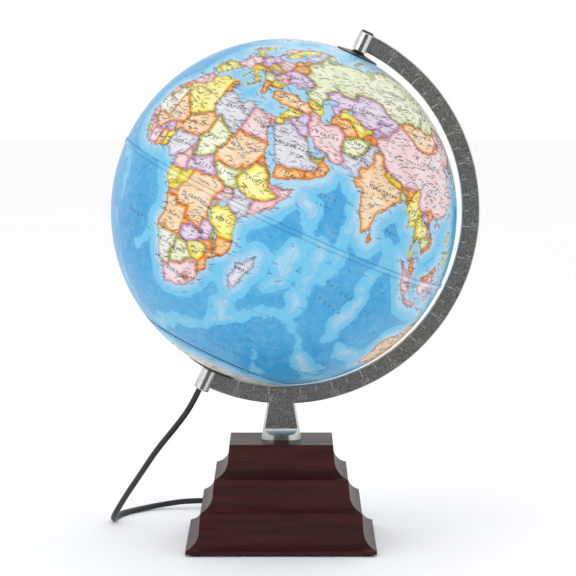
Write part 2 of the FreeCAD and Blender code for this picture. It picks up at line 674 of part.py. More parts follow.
def bulb_glass():
    centre = GLASS_LOW + BULB_NECK_HEIGHT + sphere_height(BULB_RADIUS, BULB_NECK_RADIUS)
    inner_neck = BULB_NECK_RADIUS - GLASS_WALL
    inner_radius = BULB_RADIUS - GLASS_WALL
    out_join = (BULB_NECK_RADIUS, 0, centre - sphere_height(BULB_RADIUS, BULB_NECK_RADIUS))
    in_join = (inner_neck, 0, centre - sphere_height(inner_radius, inner_neck))
    out_top = (0, 0, centre + BULB_RADIUS)
    in_top = (0, 0, centre + inner_radius)
    out_low = (BULB_NECK_RADIUS, 0, GLASS_LOW)
    in_low = (inner_neck, 0, GLASS_LOW)
    return on_axis(turned([
        line(in_low, out_low), line(out_low, out_join),
        arc(out_join, (BULB_RADIUS, 0, centre), out_top), line(out_top, in_top),
        arc(in_top, (inner_radius, 0, centre), in_join), line(in_join, in_low)]))


# ---- power cord ----

def tube(name, route):
    """Round tube along straight runs joined by tangent arcs as large as the runs allow."""
    points = [V(*p) if isinstance(p, tuple) else p for p in route]
    edges = []
    radii = []
    at = points[0]
    for before, corner, after in zip(points, points[1:], points[2:]):
        way_in = (corner - before)
        way_out = (after - corner)
        shorter = min(way_in.Length, way_out.Length)
        half_turn = way_in.getAngle(way_out) / 2
        way_in.normalize()
        way_out.normalize()
        cut = 0.45 * shorter
        radius = cut / math.tan(half_turn)
        radii.append(round(radius, 1))
        first = corner - way_in * cut
        last = corner + way_out * cut
        inward = way_out - way_in
        inward.normalize()
        centre = corner + inward * (radius / math.cos(half_turn))
        middle = centre - inward * radius
        edges.append(Part.LineSegment(at, first).toShape())
        edges.append(Part.Arc(first, middle, last).toShape())
        at = last
    edges.append(Part.LineSegment(at, points[-1]).toShape())
    path = Part.Wire(edges)
    heading = points[1] - points[0]
    section = Part.Wire([Part.Circle(points[0], heading, CORD_RADIUS).toShape()])
    body = path.makePipeShell([section], True, False)
    expected = math.pi * CORD_RADIUS ** 2 * path.Length
    print(name, "length", round(path.Length, 1), "radii", radii,
          "volume ratio", round(body.Volume / expected, 4))
    return body


def cord_coil():
    coil = ring(COIL_INNER_RADIUS, COIL_OUTER_RADIUS, 0, COIL_HEIGHT)
    rims = [e for e in coil.Edges if e.Length > 2 * COIL_HEIGHT]
    coil = coil.makeFillet(0.9 * CORD_RADIUS, rims)
    coil.translate(V(COIL_CENTRE[0], COIL_CENTRE[1], 0))
    return coil


def coil_tie():
    """A strap closed round the coil's turns on the side away from the base's middle."""
    gap = 0.1
    wide = COIL_OUTER_RADIUS - COIL_INNER_RADIUS
    middle = COIL_CENTRE[0] + (COIL_OUTER_RADIUS + COIL_INNER_RADIUS) / 2
    inner_sagitta = COIL_INNER_RADIUS - sphere_height(COIL_INNER_RADIUS, TIE_WIDTH / 2)
    room = wide + 2 * gap + inner_sagitta
    shift = -inner_sagitta / 2
    outer = box(room + 2 * TIE_THICKNESS, TIE_WIDTH, COIL_HEIGHT + gap + TIE_THICKNESS,
                middle + shift, COIL_CENTRE[1], 0)
    upper = [e for e in outer.Edges if e.BoundBox.YLength > TIE_WIDTH / 2
             and e.BoundBox.ZMin > COIL_HEIGHT]
    outer = outer.makeFillet(TIE_ROUND, upper)
    hollow = box(room, TIE_WIDTH + 2, COIL_HEIGHT + gap + 1, middle + shift, COIL_CENTRE[1], -1)
    return outer.cut(hollow)


def rounded_box(x, y, low, high, radius, centre_x, centre_y, edge_test):
    block = box(x, y, high - low, centre_x, centre_y, low)
    return block.makeFillet(radius, [e for e in block.Edges if edge_test(e)])


SWITCH_X = SWITCH_END[0] + SWITCH_LENGTH / 2
SWITCH_Y = SWITCH_END[1]
SWITCH_BODY = SWITCH_LENGTH - 2 * BOOT_LENGTH
ROCKER_PIVOT_Z = SWITCH_HEIGHT - ROCKER_PIVOT_DEPTH


def upright_edge(edge):
    return edge.BoundBox.ZLength > 1.0


def cord_bore():
    bore = Part.makeCylinder(CORD_RADIUS + SEAT, SWITCH_LENGTH + 2,
                             V(SWITCH_END[0] - 1, SWITCH_Y, SWITCH_SPLIT), V(1, 0, 0))
    return bore


def boots():
    """Tapered ends that hold the cord where it enters and leaves the switch."""
    left = Part.makeCone(BOOT_RADIUS - BOOT_TAPER, BOOT_RADIUS, BOOT_LENGTH + 1,
                         V(SWITCH_END[0], SWITCH_Y, SWITCH_SPLIT), V(1, 0, 0))
    right = Part.makeCone(BOOT_RADIUS - BOOT_TAPER, BOOT_RADIUS, BOOT_LENGTH + 1,
                          V(SWITCH_END[0] + SWITCH_LENGTH, SWITCH_Y, SWITCH_SPLIT), V(-1, 0, 0))
    return left.fuse(right)


def switch_case():
    body = rounded_box(SWITCH_BODY, SWITCH_WIDTH, 0, SWITCH_HEIGHT, SWITCH_CORNER, SWITCH_X, SWITCH_Y,
                       upright_edge)
    rims = [e for e in body.Edges if e.BoundBox.ZMin > SWITCH_HEIGHT - 0.01]
    body = body.makeFillet(SWITCH_EDGE, rims)
    hollow = box(SWITCH_BODY - 2 * SWITCH_WALL, SWITCH_WIDTH - 4 * SWITCH_WALL,
                 SWITCH_HEIGHT - 2 * SWITCH_WALL, SWITCH_X, SWITCH_Y, SWITCH_WALL)
    return body.cut(hollow).fuse(boots()).cut(hollow).cut(cord_bore())


def screw_places():
    return [(SWITCH_X + s * SWITCH_SCREW_X, SWITCH_Y + s * SWITCH_SCREW_Y) for s in (-1, 1)]


def switch_screws(grow=0.0):
    head_radius, head_height = SWITCH_SCREW_HEAD
    screws = []
    for px, py in screw_places():
        head = Part.makeCylinder(head_radius + grow, head_height + grow, V(px, py, SWITCH_SCREW_LOW - grow))
        shank = Part.makeCylinder(SWITCH_SCREW_RADIUS + grow, SWITCH_SCREW_SHANK,
                                  V(px, py, SWITCH_SCREW_LOW + head_height))
        screws.append(head.fuse(shank).removeSplitter())
    return screws


def screw_posts():
    posts = []
    for px, py in screw_places():
        posts.append(Part.makeCylinder(SCREW_POST_RADIUS, SWITCH_HEIGHT - 2, V(px, py, 1)))
    return posts


def switch_shells():
    case = switch_case()
    for post in screw_posts():
        case = case.fuse(post)
    opening = box(ROCKER_LENGTH + 2 * ROCKER_GAP, ROCKER_WIDTH + 2 * ROCKER_GAP, SWITCH_HEIGHT,
                  SWITCH_X, SWITCH_Y, SWITCH_SPLIT)
    case = case.cut(opening)
    for screw in switch_screws(SEAT):
        case = case.cut(screw)
    for px, py in screw_places():
        case = case.cut(Part.makeCylinder(SWITCH_SCREW_HEAD[0] + SEAT, SWITCH_SCREW_LOW + 1.0,
                                      V(px, py, -1.0)))
    split = box(SWITCH_LENGTH + 20, SWITCH_WIDTH + 20, SWITCH_SPLIT, SWITCH_X, SWITCH_Y, 0)
    pivot = Part.makeCylinder(ROCKER_PIN_RADIUS + RUN, ROCKER_WIDTH + 6, V(
        SWITCH_X, SWITCH_Y - ROCKER_WIDTH / 2 - 3, ROCKER_PIVOT_Z), V(0, 1, 0))
    lower = case.common(split).removeSplitter()
    upper = case.cut(split).fuse(rocker_ears()).cut(opening).cut(pivot).removeSplitter()
    return lower, upper


def rocker_ears():
    length, thickness, height = ROCKER_EAR
    off = ROCKER_WIDTH / 2 + ROCKER_GAP + thickness / 2
    ears = []
    for side in (-1, 1):
        ears.append(box(length, thickness, height, SWITCH_X, SWITCH_Y + side * off,
                        SWITCH_HEIGHT - height - 1.0))
    return ears


def switch_rocker():
    pivot_z = ROCKER_PIVOT_Z
    half = ROCKER_LENGTH / 2
    low = pivot_z - ROCKER_SKIRT
    crown = SWITCH_HEIGHT + ROCKER_CROWN
    edges = [line((-half, 0, low), (half, 0, low)), line((half, 0, low), (half, 0, crown)),
             arc((half, 0, crown), (0, 0, crown - ROCKER_DISH), (-half, 0, crown)),
             line((-half, 0, crown), (-half, 0, low))]
    body = Part.Face(Part.Wire(edges)).extrude(V(0, ROCKER_WIDTH, 0))
    body.translate(V(0, -ROCKER_WIDTH / 2, 0))
    swept = Part.makeCylinder(math.hypot(half, crown - pivot_z) - 0.5, ROCKER_WIDTH + 2,
                              V(0, -ROCKER_WIDTH / 2 - 1, pivot_z), V(0, 1, 0))
    window = box(ROCKER_LENGTH - 1.8, ROCKER_WIDTH, 30, 0, 0, 0)
    body = body.common(swept).common(window)
    pins = Part.makeCylinder(ROCKER_PIN_RADIUS, ROCKER_WIDTH + 2 * ROCKER_PIN_LENGTH,
                             V(0, -ROCKER_WIDTH / 2 - ROCKER_PIN_LENGTH, pivot_z), V(0, 1, 0))
    body = body.fuse(pins).removeSplitter()
    body.rotate(V(0, 0, pivot_z), V(0, 1, 0), -ROCKER_TILT)
    body.translate(V(SWITCH_X, SWITCH_Y, 0))
    return body


PLUG_START = V(*ROUTE_TO_PLUG[-1])
PLUG_HEADING = V(-0.97, 0.243, 0)
PLUG_ANGLE = math.degrees(math.atan2(PLUG_HEADING.y, PLUG_HEADING.x))


def at_plug(shape):
    """Moves a shape drawn along +X from the cord's end to where the plug lies."""
    placed = shape.copy()
    placed.rotate(ORIGIN, UP, PLUG_ANGLE)
    placed.translate(PLUG_START)
    return placed


def plug_body():
    boot = Part.makeCone(*PLUG_BOOT_RADII, PLUG_BOOT_LENGTH + 1, ORIGIN, V(1, 0, 0))
    body = Part.makeBox(PLUG_LENGTH, PLUG_WIDTH, PLUG_HEIGHT,
                        V(PLUG_BOOT_LENGTH, -PLUG_WIDTH / 2, -PLUG_HEIGHT / 2))
    long_edges = [e for e in body.Edges if e.BoundBox.XLength > PLUG_LENGTH / 2]
    body = body.makeFillet(PLUG_EDGE, long_edges)
    body = body.fuse(boot)
    for blade in blades(SEAT):
        body = body.cut(blade)
    return at_plug(body.removeSplitter())


def blades(grow=0.0):
    made = []
    for side in (-1, 1):
        made.append(Part.makeBox(
            BLADE_LENGTH + 10, BLADE_THICKNESS + 2 * grow, BLADE_WIDTH + 2 * grow,
            V(PLUG_BOOT_LENGTH + PLUG_LENGTH - 10, side * BLADE_SPACING / 2 - BLADE_THICKNESS / 2 - grow,
              -BLADE_WIDTH / 2 - grow)))
    return made


def main():
    os.makedirs("parts", exist_ok=True)
    save(hemisphere(1, NORTH_HOLE_RADIUS), "north_hemisphere")
    save(hemisphere(-1, SOUTH_HOLE_RADIUS), "south_hemisphere")
    save(equator_band(), "equator_band")
    save(north_hub(), "north_hub")
    save(north_hub_clip(), "north_hub_clip")
    save(south_flange(), "south_flange")

    bottom_tier, middle_tier, top_tier = base_tiers()
    save(bottom_tier, "base_bottom_tier")
    save(middle_tier, "base_middle_tier")
    save(top_tier, "base_top_tier")
    save(Part.makeCompound(wood_screws(
        LOWER_SCREW_X, LOWER_SCREW_Y, FOOT_HEIGHT, LOWER_SCREW_LENGTH)), "lower_tier_screws")
    save(Part.makeCompound(wood_screws(
        UPPER_SCREW_X, UPPER_SCREW_Y, FOOT_HEIGHT + BOTTOM_TIER_HEIGHT, UPPER_SCREW_LENGTH)),
        "upper_tier_screws")
    save(rubber_feet(), "rubber_feet")
    save(clamp_bolt(), "clamp_bolt")
    save(clamp_washer(), "clamp_washer")
    save(meridian_arm(), "meridian_arm")
    save(north_pin(), "north_pin")
    save(north_pin_cap(), "north_pin_cap")

    save(lamp_tube(), "lamp_tube")
    save(south_washer(), "south_washer")
    save(cord_grommet(), "cord_grommet")
    save(inner_lead(), "inner_lead")
    save(holder_nut(), "holder_nut")
    save(holder_cap(), "holder_cap")
    save(lampholder(), "lampholder")
    save(socket_sleeve(), "socket_sleeve")
    save(centre_contact(), "centre_contact")
    save(bulb_cap(), "bulb_cap")
    save(bulb_glass(), "bulb_glass")

    save(tube("cord_to_switch", ROUTE_TO_SWITCH), "cord_to_switch")
    save(tube("cord_to_coil", ROUTE_TO_COIL), "cord_to_coil")
    save(cord_coil(), "cord_coil")
    save(tube("cord_to_plug", ROUTE_TO_PLUG), "cord_to_plug")
    save(coil_tie(), "coil_tie")
    lower, upper = switch_shells()
    save(lower, "switch_lower_shell")
    save(upper, "switch_upper_shell")
    save(Part.makeCompound(switch_screws()), "switch_screws")
    save(switch_rocker(), "switch_rocker")
    save(plug_body(), "plug_body")
    save(at_plug(Part.makeCompound(blades())), "plug_blades")


main()
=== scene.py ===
"""A lit 12 inch desk globe: map ball, scaled arm, stepped wooden base, lead, switch and plug."""

import math
import random

import bmesh
import bpy
import numpy as np
from mathutils import Euler, Matrix, Vector, kdtree
from mathutils.geometry import delaunay_2d_cdt


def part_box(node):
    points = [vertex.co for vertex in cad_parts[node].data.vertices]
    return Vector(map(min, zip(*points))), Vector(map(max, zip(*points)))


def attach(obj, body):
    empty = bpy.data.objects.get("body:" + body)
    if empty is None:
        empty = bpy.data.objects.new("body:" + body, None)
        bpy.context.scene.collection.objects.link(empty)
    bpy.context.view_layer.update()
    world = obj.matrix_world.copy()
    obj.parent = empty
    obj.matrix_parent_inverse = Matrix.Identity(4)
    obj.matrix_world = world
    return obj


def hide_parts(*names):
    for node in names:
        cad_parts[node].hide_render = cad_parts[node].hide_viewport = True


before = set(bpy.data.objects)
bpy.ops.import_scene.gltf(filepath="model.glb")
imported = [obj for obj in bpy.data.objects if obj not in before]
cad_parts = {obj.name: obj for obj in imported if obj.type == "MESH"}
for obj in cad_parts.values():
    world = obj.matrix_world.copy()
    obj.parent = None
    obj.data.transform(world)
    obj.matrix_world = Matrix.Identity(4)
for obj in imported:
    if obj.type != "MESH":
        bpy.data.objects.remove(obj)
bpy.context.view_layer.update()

# ---- sizes and places, in metres, from the frame ----

MM = 0.001
TILT = math.radians(25)
BAND_LOW, BAND_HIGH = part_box("equator_band")
BALL_CENTRE = (BAND_LOW + BAND_HIGH) / 2
BAND_PROUD = 0.9 * MM
BALL_RADIUS = (BAND_HIGH.y - BAND_LOW.y) / 2 - BAND_PROUD
BALL_WALL = 2.0 * MM
CENTRE_LONGITUDE = 53.6     # the meridian that faces the front
ON_AXIS = Matrix.Translation(BALL_CENTRE) @ Matrix.Rotation(TILT, 4, "Y")
AXIS = (ON_AXIS.to_3x3() @ Vector((0, 0, 1))).normalized()

ARM_LIFT = 1.8              # mm from the ball's centre to the arm's, along the axis
ARM_CENTRE = BALL_CENTRE + AXIS * ARM_LIFT * MM
ARM_INNER = 156.3 * MM
ARM_HALF = 4.5 * MM


def placed(name, data):
    """A new object that holds the data, in the scene."""
    made = bpy.data.objects.new(name, data)
    bpy.context.scene.collection.objects.link(made)
    return made


# ---- the map's outlines, as longitude and latitude, drawn one by one ----

LAND = {
    "africa": """-6 35.8, -2 35.1, 3 36.8, 9.8 37.3, 11 37, 10.2 34.3, 11.5 33.1, 15.2 32.3,
        19 30.3, 20 31, 20 32.5, 23 32.6, 25 31.6, 29 30.9, 31 31.5, 32.5 31.2, 32.6 29.9,
        33.6 27.8, 35.5 24, 37.2 21, 37.3 19, 39.5 15.6, 43.2 12.5, 43.2 11.5, 44.5 10.4, 47 11.1,
        51.2 11.9, 50.8 9.5, 49 6.8, 47.9 4.3, 45.5 2, 42 -1, 40 -2.7, 39 -5, 39.5 -6.8, 39.5 -9,
        40.6 -10.7, 40.6 -15, 39 -17, 36.5 -18.8, 34.8 -20, 35.4 -23.5, 32.8 -25.8, 32.6 -28,
        30.5 -30.8, 28 -33, 25.7 -34, 22 -34.1, 20 -34.8, 18.4 -34.2, 18.2 -32, 16.5 -28.8,
        15 -26.5, 14.4 -22.5, 12 -18, 11.8 -16, 13.5 -12.3, 13.2 -9, 12.2 -6, 11.8 -4.6, 9 -1,
        9.5 1, 9.7 3.8, 8.5 4.6, 6 4.3, 4.5 6.3, 1.5 6.2, -2 4.8, -4.5 5.2, -7.5 4.4, -11.4 6.8,
        -13.2 8.8, -14.8 10.9, -16.8 12.4, -17.4 14.7, -16.5 16, -16.3 19, -17 21, -16 23.7,
        -14.9 25.9, -13 27.8, -10 29.5, -9.7 31.5, -8.5 33.3, -6.8 34.1""",
    "madagascar": """49.3 -12, 50.4 -15.8, 49.6 -17, 47.8 -23, 47 -25, 45.2 -25.5, 43.7 -23.4,
        43.3 -22, 44.4 -20, 44 -17, 46.5 -15.8, 48 -13.8""",
    "eurasia": """-9.2 43.2, -8.8 41, -9.4 38.7, -8.9 37, -6.3 36.8, -5.4 36.1, -2.2 36.8,
        -0.3 38.5, 0.2 40.4, 3.2 42.2, 3.2 43.2, 6.5 43.1, 9 44.3, 10.3 43.3, 12.2 41.8, 15.6 40,
        15.8 38, 17 39, 16.8 40.4, 18.5 40.2, 16.1 41.7, 14 42.5, 12.4 44.2, 12.3 45.3, 13.7 45.6,
        15 44.5, 17.5 43, 19.4 41.8, 19.4 40.3, 21 38.8, 21.4 36.8, 23 36.5, 24 37.8, 22.9 40.4,
        24 40.6, 26 40.9, 28.8 41.1, 28 42.5, 28.6 43.8, 30 45.5, 31 46.5, 32.7 45.6, 33.6 44.5,
        35.5 45.1, 35 46.2, 38 47, 39.2 47.1, 37.6 45.2, 39.8 43.4, 41.5 42, 41 41.3, 38 41, 35 42,
        33 42, 31 41.2, 28.9 41, 26.2 39.8, 27 38, 27.5 36.9, 30.6 36.7, 32.5 36.1, 34.5 36.7,
        36.1 36.5, 35.8 35, 35 33, 34.2 31.3, 32.5 31.1, 32.6 30, 33.3 28.3, 34.2 27.8, 34.9 29.5,
        35 28, 37 25, 39 21.5, 41 18.5, 42.7 16.3, 43.4 12.7, 45 12.8, 48.5 14, 52.2 15.8, 55 17,
        57.7 19, 59.8 22.5, 58.7 23.6, 56.7 24.3, 56.3 26.2, 54.5 24.3, 51.6 24.2, 51.5 25.8,
        50.8 25, 50.1 26.6, 48.5 28.5, 48 30, 49.5 30.2, 51.5 27.8, 54.5 26.6, 56.8 27.1,
        57.4 25.7, 61.5 25.1, 66.5 25.3, 67.2 24.5, 68.5 23.5, 69 22.2, 70.4 20.8, 72.5 21.5,
        72.8 19, 73.8 15.5, 75 12.5, 76.5 8.9, 77.6 8.1, 78.2 9, 79.9 10.3, 80.2 13.4, 80.3 15.5,
        82.3 16.6, 85 19.5, 87 21.4, 89 21.8, 91.8 22.4, 92.3 20.8, 94.3 18.5, 94.3 16, 95.5 15.7,
        97.3 16.8, 97.8 14.5, 98.6 12, 98.3 8, 100.3 6, 101.3 2.9, 103.5 1.3, 104.2 1.4, 103.4 4,
        102.3 6.2, 100.4 7.3, 99.3 9.3, 99.9 11.8, 100.5 13.4, 102 12.4, 103.5 10.6, 104.8 8.6,
        106.7 10.2, 109.2 11.8, 109.2 13.8, 107.5 16.5, 105.8 18.8, 106.8 20.6, 108.3 21.6,
        109.8 21.4, 110.2 20.3, 111 21.5, 114 22.4, 116.7 23.3, 119 25.5, 121.5 28.5, 121.9 30.8,
        119.2 34.8, 120.5 36, 122.5 37, 120.8 37.8, 118 38.3, 117.8 39, 121 40.8, 121.3 39, 124 40,
        125 37.9, 126.7 37, 126.4 34.6, 129.2 35.3, 129.4 37, 127.5 39.5, 129.8 41, 130.7 42.3,
        133 42.8, 135.5 44.2, 138.5 46.5, 140.4 48.5, 140.5 51, 141.3 53.2, 138 54, 135.5 54.7,
        140 57.5, 145 59.4, 150 59.6, 155 59.3, 160 61.7, 163.5 62.5, 163 60.5, 157 57.8, 155.7 56,
        156.5 51.3, 158.5 53, 162 55, 163 58, 164.8 59.8, 170 60, 174.5 61.8, 179.5 62.6,
        177.5 64.7, 180 65, 180 69, 176 69.8, 170.5 69, 170 70, 161 69.5, 152 70.9, 140 72.6,
        131 71, 129 72.8, 123.5 73, 113.5 73.6, 109 76.6, 104.3 77.7, 98 76, 87 75, 81 73.6,
        80.5 72, 74.8 72.8, 73 68, 71 67, 72.5 71, 69.5 72.8, 66.8 70.5, 68 68.3, 60.8 69.8,
        60.5 68.7, 54 68.3, 48 67.6, 44 66, 43.5 68.6, 41.5 66.6, 40 64.7, 37 63.9, 34.7 65,
        33 66.6, 41 66.8, 36 69.1, 31 69.6, 28 71, 23 70.3, 18.5 69.5, 14.5 67.6, 12.3 65,
        9.5 63.2, 5.3 62, 5 60, 5.6 58.7, 7.5 58, 10.5 59.1, 11.3 58.8, 12.8 56.4, 12.9 55.5,
        14.3 55.5, 16.4 56.5, 18.8 59.8, 17.3 61, 18 62.5, 21 64.3, 22.2 65.7, 25 65, 21.3 62.8,
        21.5 60.8, 23 59.9, 28 60.5, 30 59.9, 28 59.5, 23.5 59.2, 24.4 58.3, 23.7 57.1, 21.6 57.4,
        21 55.3, 19.5 54.4, 18.5 54.7, 14.2 53.9, 11 54, 10 54.8, 10.5 57.6, 8.2 57, 8.7 53.9,
        7 53.5, 4.8 52.9, 3.5 51.4, 1.6 50.9, 0.2 49.5, -1.5 49.7, -1.5 48.6, -4.6 48.6, -2.5 47.3,
        -1.2 45.5, -1.5 43.5, -5 43.6""",
    "chukotka": "-180 65, -173 64.3, -170 66, -175 67.4, -180 69",
    "britain": """-5.5 50.1, -3.5 50.3, 1.2 51.1, 1.6 52.7, 0 53, -1.5 55, -2 57.5, -3.1 58.6,
        -5 58.5, -5.8 56.5, -4.8 54.8, -3 54, -4.5 53, -5 51.7, -3 51.4""",
    "ireland": "-6 52.2, -9.8 51.6, -9 53.2, -10 54.2, -7.5 55.3, -5.6 54.5",
    "iceland": "-14.5 65, -18 63.4, -22.5 64, -24 65.6, -22 66.4, -16.5 66.4",
    "svalbard": "11 79, 16 76.7, 22 78.3, 27 80, 17 80",
    "novaya": "52 70.8, 57 70.6, 58 73, 68 76.9, 60 76.2, 55 74",
    "severnaya": "95 79, 100 78.2, 105 78.8, 98 81",
    "siberian_isles": "138 75.3, 148 74.9, 146 75.8, 139 76",
    "sicily": "12.5 38, 15.5 38.2, 15.1 36.7",
    "sardinia": "8.2 39, 9.6 39.2, 9.5 41, 8.3 40.9",
    "corsica": "8.7 41.5, 9.4 41.8, 9.4 43, 8.6 42.4",
    "crete": "23.5 35.3, 26.2 35.1, 26.2 35.4, 23.6 35.6",
    "cyprus": "32.3 34.8, 34 34.9, 34.5 35.6, 33 35.3",
    "sri_lanka": "79.8 8, 80.2 9.8, 81.9 7.5, 81.2 6.2, 80.1 6.1",
    "sumatra": """95.3 5.6, 97.5 5.1, 100.5 2.2, 103.8 0.2, 106 -3, 105.8 -5.8, 104.5 -5.8, 102 -4,
        100 -1, 98.7 1.7""",
    "java": """105.3 -6.8, 106.2 -5.9, 108.5 -6.7, 111 -6.4, 114.4 -7.7, 114.4 -8.7, 110.5 -8.2,
        106.5 -7.4""",
    "flores": "116 -8.5, 119 -8.3, 122.8 -8.3, 122.5 -8.9, 119 -8.8",
    "timor": "123.5 -10.2, 125 -8.9, 127.2 -8.4, 125.5 -9.6",
    "borneo": """109 1.8, 111.3 2.4, 113 3.2, 115.5 5.5, 117 7, 119.2 5.2, 117.8 3, 118.9 1,
        117.5 0.8, 116.5 -3, 114.6 -4, 111.8 -3.4, 110 -1.3""",
    "sulawesi": """119.5 -5.5, 118.8 -2.8, 119.8 0.5, 121 1.3, 125 1.5, 123.5 0.4, 120.2 0.4,
        121 -0.9, 123.3 -0.9, 121.7 -2, 122.5 -4.7, 121.5 -4.8, 120.8 -2.8, 120.4 -5.5""",
    "halmahera": "127.5 0, 128.6 1.5, 127.8 2.2, 128.3 -0.6",
    "new_guinea": """131 -0.8, 134 -0.8, 135 -3.3, 137.8 -1.5, 141 -2.6, 145.5 -4.5, 147.8 -6,
        147 -6.8, 150.8 -10.3, 147 -9.5, 143.8 -7.8, 142.5 -9.2, 141 -9.1, 138 -8.2, 138 -5.8,
        133 -4, 134 -2.4, 131.2 -1.5""",
    "new_britain": "148.3 -5.6, 152 -4.2, 151.8 -5.6, 149 -6.3",
    "solomons": "156 -6.8, 161 -9.6, 162 -10.6, 159 -9.2",
    "luzon": "120.5 18.5, 122.2 18.4, 121.8 16, 124 13, 120.7 13.8, 120 16",
    "mindanao": "122 7, 123.5 8.7, 125.5 9.8, 126.4 7.5, 125.4 5.7, 124 6.8",
    "visayas": "122 11.8, 125 12.4, 125.2 10.5, 123 9.3, 122 10.5",
    "palawan": "117.3 8.4, 119.5 11.2, 118.6 9.2",
    "taiwan": "121.5 25.2, 120.1 23, 120.8 22, 121.8 24.5",
    "hainan": "108.7 19, 110.3 20.1, 111 19.6, 109.6 18.2",
    "kyushu": "130 33.5, 131.8 33.5, 131.3 31.4, 130.2 31.3",
    "shikoku": "132.5 33.8, 134.5 34.2, 134.2 33.3, 133 32.8",
    "honshu": """131 34.3, 133 35.5, 136 35.9, 137 37.3, 138.5 37.2, 140 39.5, 140.3 41.1,
        141.5 41.3, 142 39.5, 140.9 38, 140.8 35.7, 138.8 34.7, 136.8 34.4, 135.8 33.5, 135.2 34.6,
        132.5 34.2""",
    "hokkaido": "140.3 42.2, 141.2 43.3, 141.8 45.4, 145.3 43.8, 143.3 42, 141 42.4, 140.3 41.6",
    "sakhalin": "142 46, 142.3 49, 142.2 53.5, 143 54, 143.5 51, 144 49, 142.8 46.5",
    "australia": """114 -22, 113.4 -24.5, 114 -27.5, 115.7 -32, 115.1 -34.3, 118 -35, 120 -34,
        123.8 -33.9, 126 -32.3, 131 -31.5, 134 -32.8, 135.8 -34.8, 137.8 -33, 138.2 -35, 140 -37.5,
        143.5 -38.7, 146.3 -39, 150 -37.4, 151.3 -33.5, 153.2 -30, 153.5 -27, 152.8 -25.2,
        150.8 -23.3, 149 -20.5, 146.2 -19, 145.3 -15, 143.7 -14.3, 142.5 -10.8, 141.6 -13,
        140.9 -17.3, 139.3 -17.4, 135.6 -15, 136.8 -12.2, 135 -12, 132.6 -11.4, 130.7 -12.5,
        129.5 -14.9, 127 -14, 125 -14.8, 123.6 -17, 122.2 -17.8, 121 -19.6, 117 -20.7""",
    "tasmania": "144.7 -40.8, 148.3 -40.9, 147.9 -43, 146 -43.5",
    "new_zealand_north": "173 -34.5, 175.3 -36.8, 178.4 -37.7, 177 -39.5, 175 -41.5, 173.9 -39.3",
    "new_zealand_south": "172.7 -40.6, 174.2 -41.7, 171.3 -44.3, 169 -46.6, 166.6 -46, 168.3 -44",
    "new_caledonia": "164.2 -20.2, 167 -22.3, 166.3 -22.4",
    "fiji": "177.3 -17.6, 178.6 -17.3, 178.4 -18.2",
    "hawaii": "-156 19.8, -155.2 20.2, -154.9 19.4, -155.7 18.9",
    "antarctica": """-180 -78, -160 -78.3, -150 -77, -130 -74, -100 -73, -80 -73, -68 -68,
        -58 -63.3, -62 -67, -60 -75, -45 -78, -30 -78, -20 -74, 0 -70.5, 15 -70, 30 -69, 40 -69,
        50 -67, 60 -67.5, 70 -68.5, 75 -69.5, 80 -68, 90 -66.5, 110 -66, 130 -66, 145 -67, 160 -70,
        170 -72, 165 -77, 180 -78, 180 -90, -180 -90""",
    "north_america": """-168 65.6, -162 66.5, -166.5 68.3, -156.5 71.3, -141 69.6, -128 70,
        -115 68.5, -108 68, -96 68.2, -94.5 72, -90 69, -82 69.5, -81.5 67.5, -87 66, -87 64.5,
        -94.5 61, -94.7 58.9, -92.5 57, -88 56.5, -82.3 55.2, -82 53, -80 51.3, -79.3 54.7,
        -76.7 57, -78.5 58.8, -77.5 62.4, -73.5 62.3, -70 61, -69.5 58.9, -64.6 60.3, -61.5 56.5,
        -57.5 54.5, -55.8 52.5, -60 50.2, -66.5 50.2, -71 47, -65 49.2, -64.3 48.2, -64 46,
        -61 45.3, -65.8 43.6, -66 45, -70.5 43.3, -70 41.7, -74 40.6, -75.5 38.5, -76 36.9,
        -75.5 35.3, -78 33.9, -81 32, -81.4 30.5, -80 27, -80.4 25.2, -81.8 26, -82.8 28, -84 30,
        -88 30.3, -90 29.2, -94 29.5, -97.2 27.7, -97.8 22.5, -96 19, -94.5 18.2, -91.5 18.6,
        -90.5 20.8, -87 21.5, -87.5 18.5, -88.5 16, -84 15.8, -83.3 14.5, -83.6 11, -82 9,
        -79.7 9.6, -77.3 8.6, -77.9 7.3, -80 8.3, -80.5 7.4, -82.9 8.2, -85.8 10.3, -87.6 13,
        -92.3 14.5, -94.5 16.2, -97 15.8, -101.5 17.7, -105.6 20.3, -105.3 21.7, -109 25.8,
        -113.1 31.3, -114.8 31.7, -112 27, -109.4 23.2, -112.2 25, -114.2 28, -116.5 31.5,
        -118.5 34, -120.6 34.6, -122.5 37.7, -124.2 40.4, -124.7 48.4, -122.5 47.5, -123 49,
        -127.8 51.5, -130.3 54.7, -134 58.2, -138 59, -144 60, -150 59.5, -151.5 61, -154 58,
        -159 56, -164.5 54.6, -158.5 57.5, -157.5 58.7, -162 58.7, -165 62.5, -161 64.5,
        -166 64.6""",
    "south_america": """-77.5 8.5, -75.5 10.6, -71.7 12.4, -71.3 11, -64 10.5, -61.9 10.7, -60 8.5,
        -57 6, -51.5 4.5, -50 0.5, -48 -0.8, -44.3 -2.7, -40 -2.9, -35.3 -5.2, -34.9 -8,
        -37.2 -11.5, -39 -14, -39 -17.5, -41 -22, -44.5 -23.1, -48.5 -25.9, -48.8 -28.5, -52 -32.5,
        -54.5 -34.8, -58.3 -34, -57 -36.5, -58 -38.2, -62.2 -39, -65 -41, -63.7 -42.5, -67.5 -46,
        -65.8 -47.5, -69 -50.8, -68.3 -52.5, -65.3 -54.8, -68 -55.7, -72 -54, -75 -50, -75.5 -46.5,
        -73.5 -42, -73.5 -37.5, -71.5 -32, -70.3 -25, -70.3 -18.4, -76.3 -13.8, -79 -8.2, -81.3 -5,
        -80 -3, -80.9 -1, -80 0.7, -78.8 1.5, -77.3 4, -77.8 7.2""",
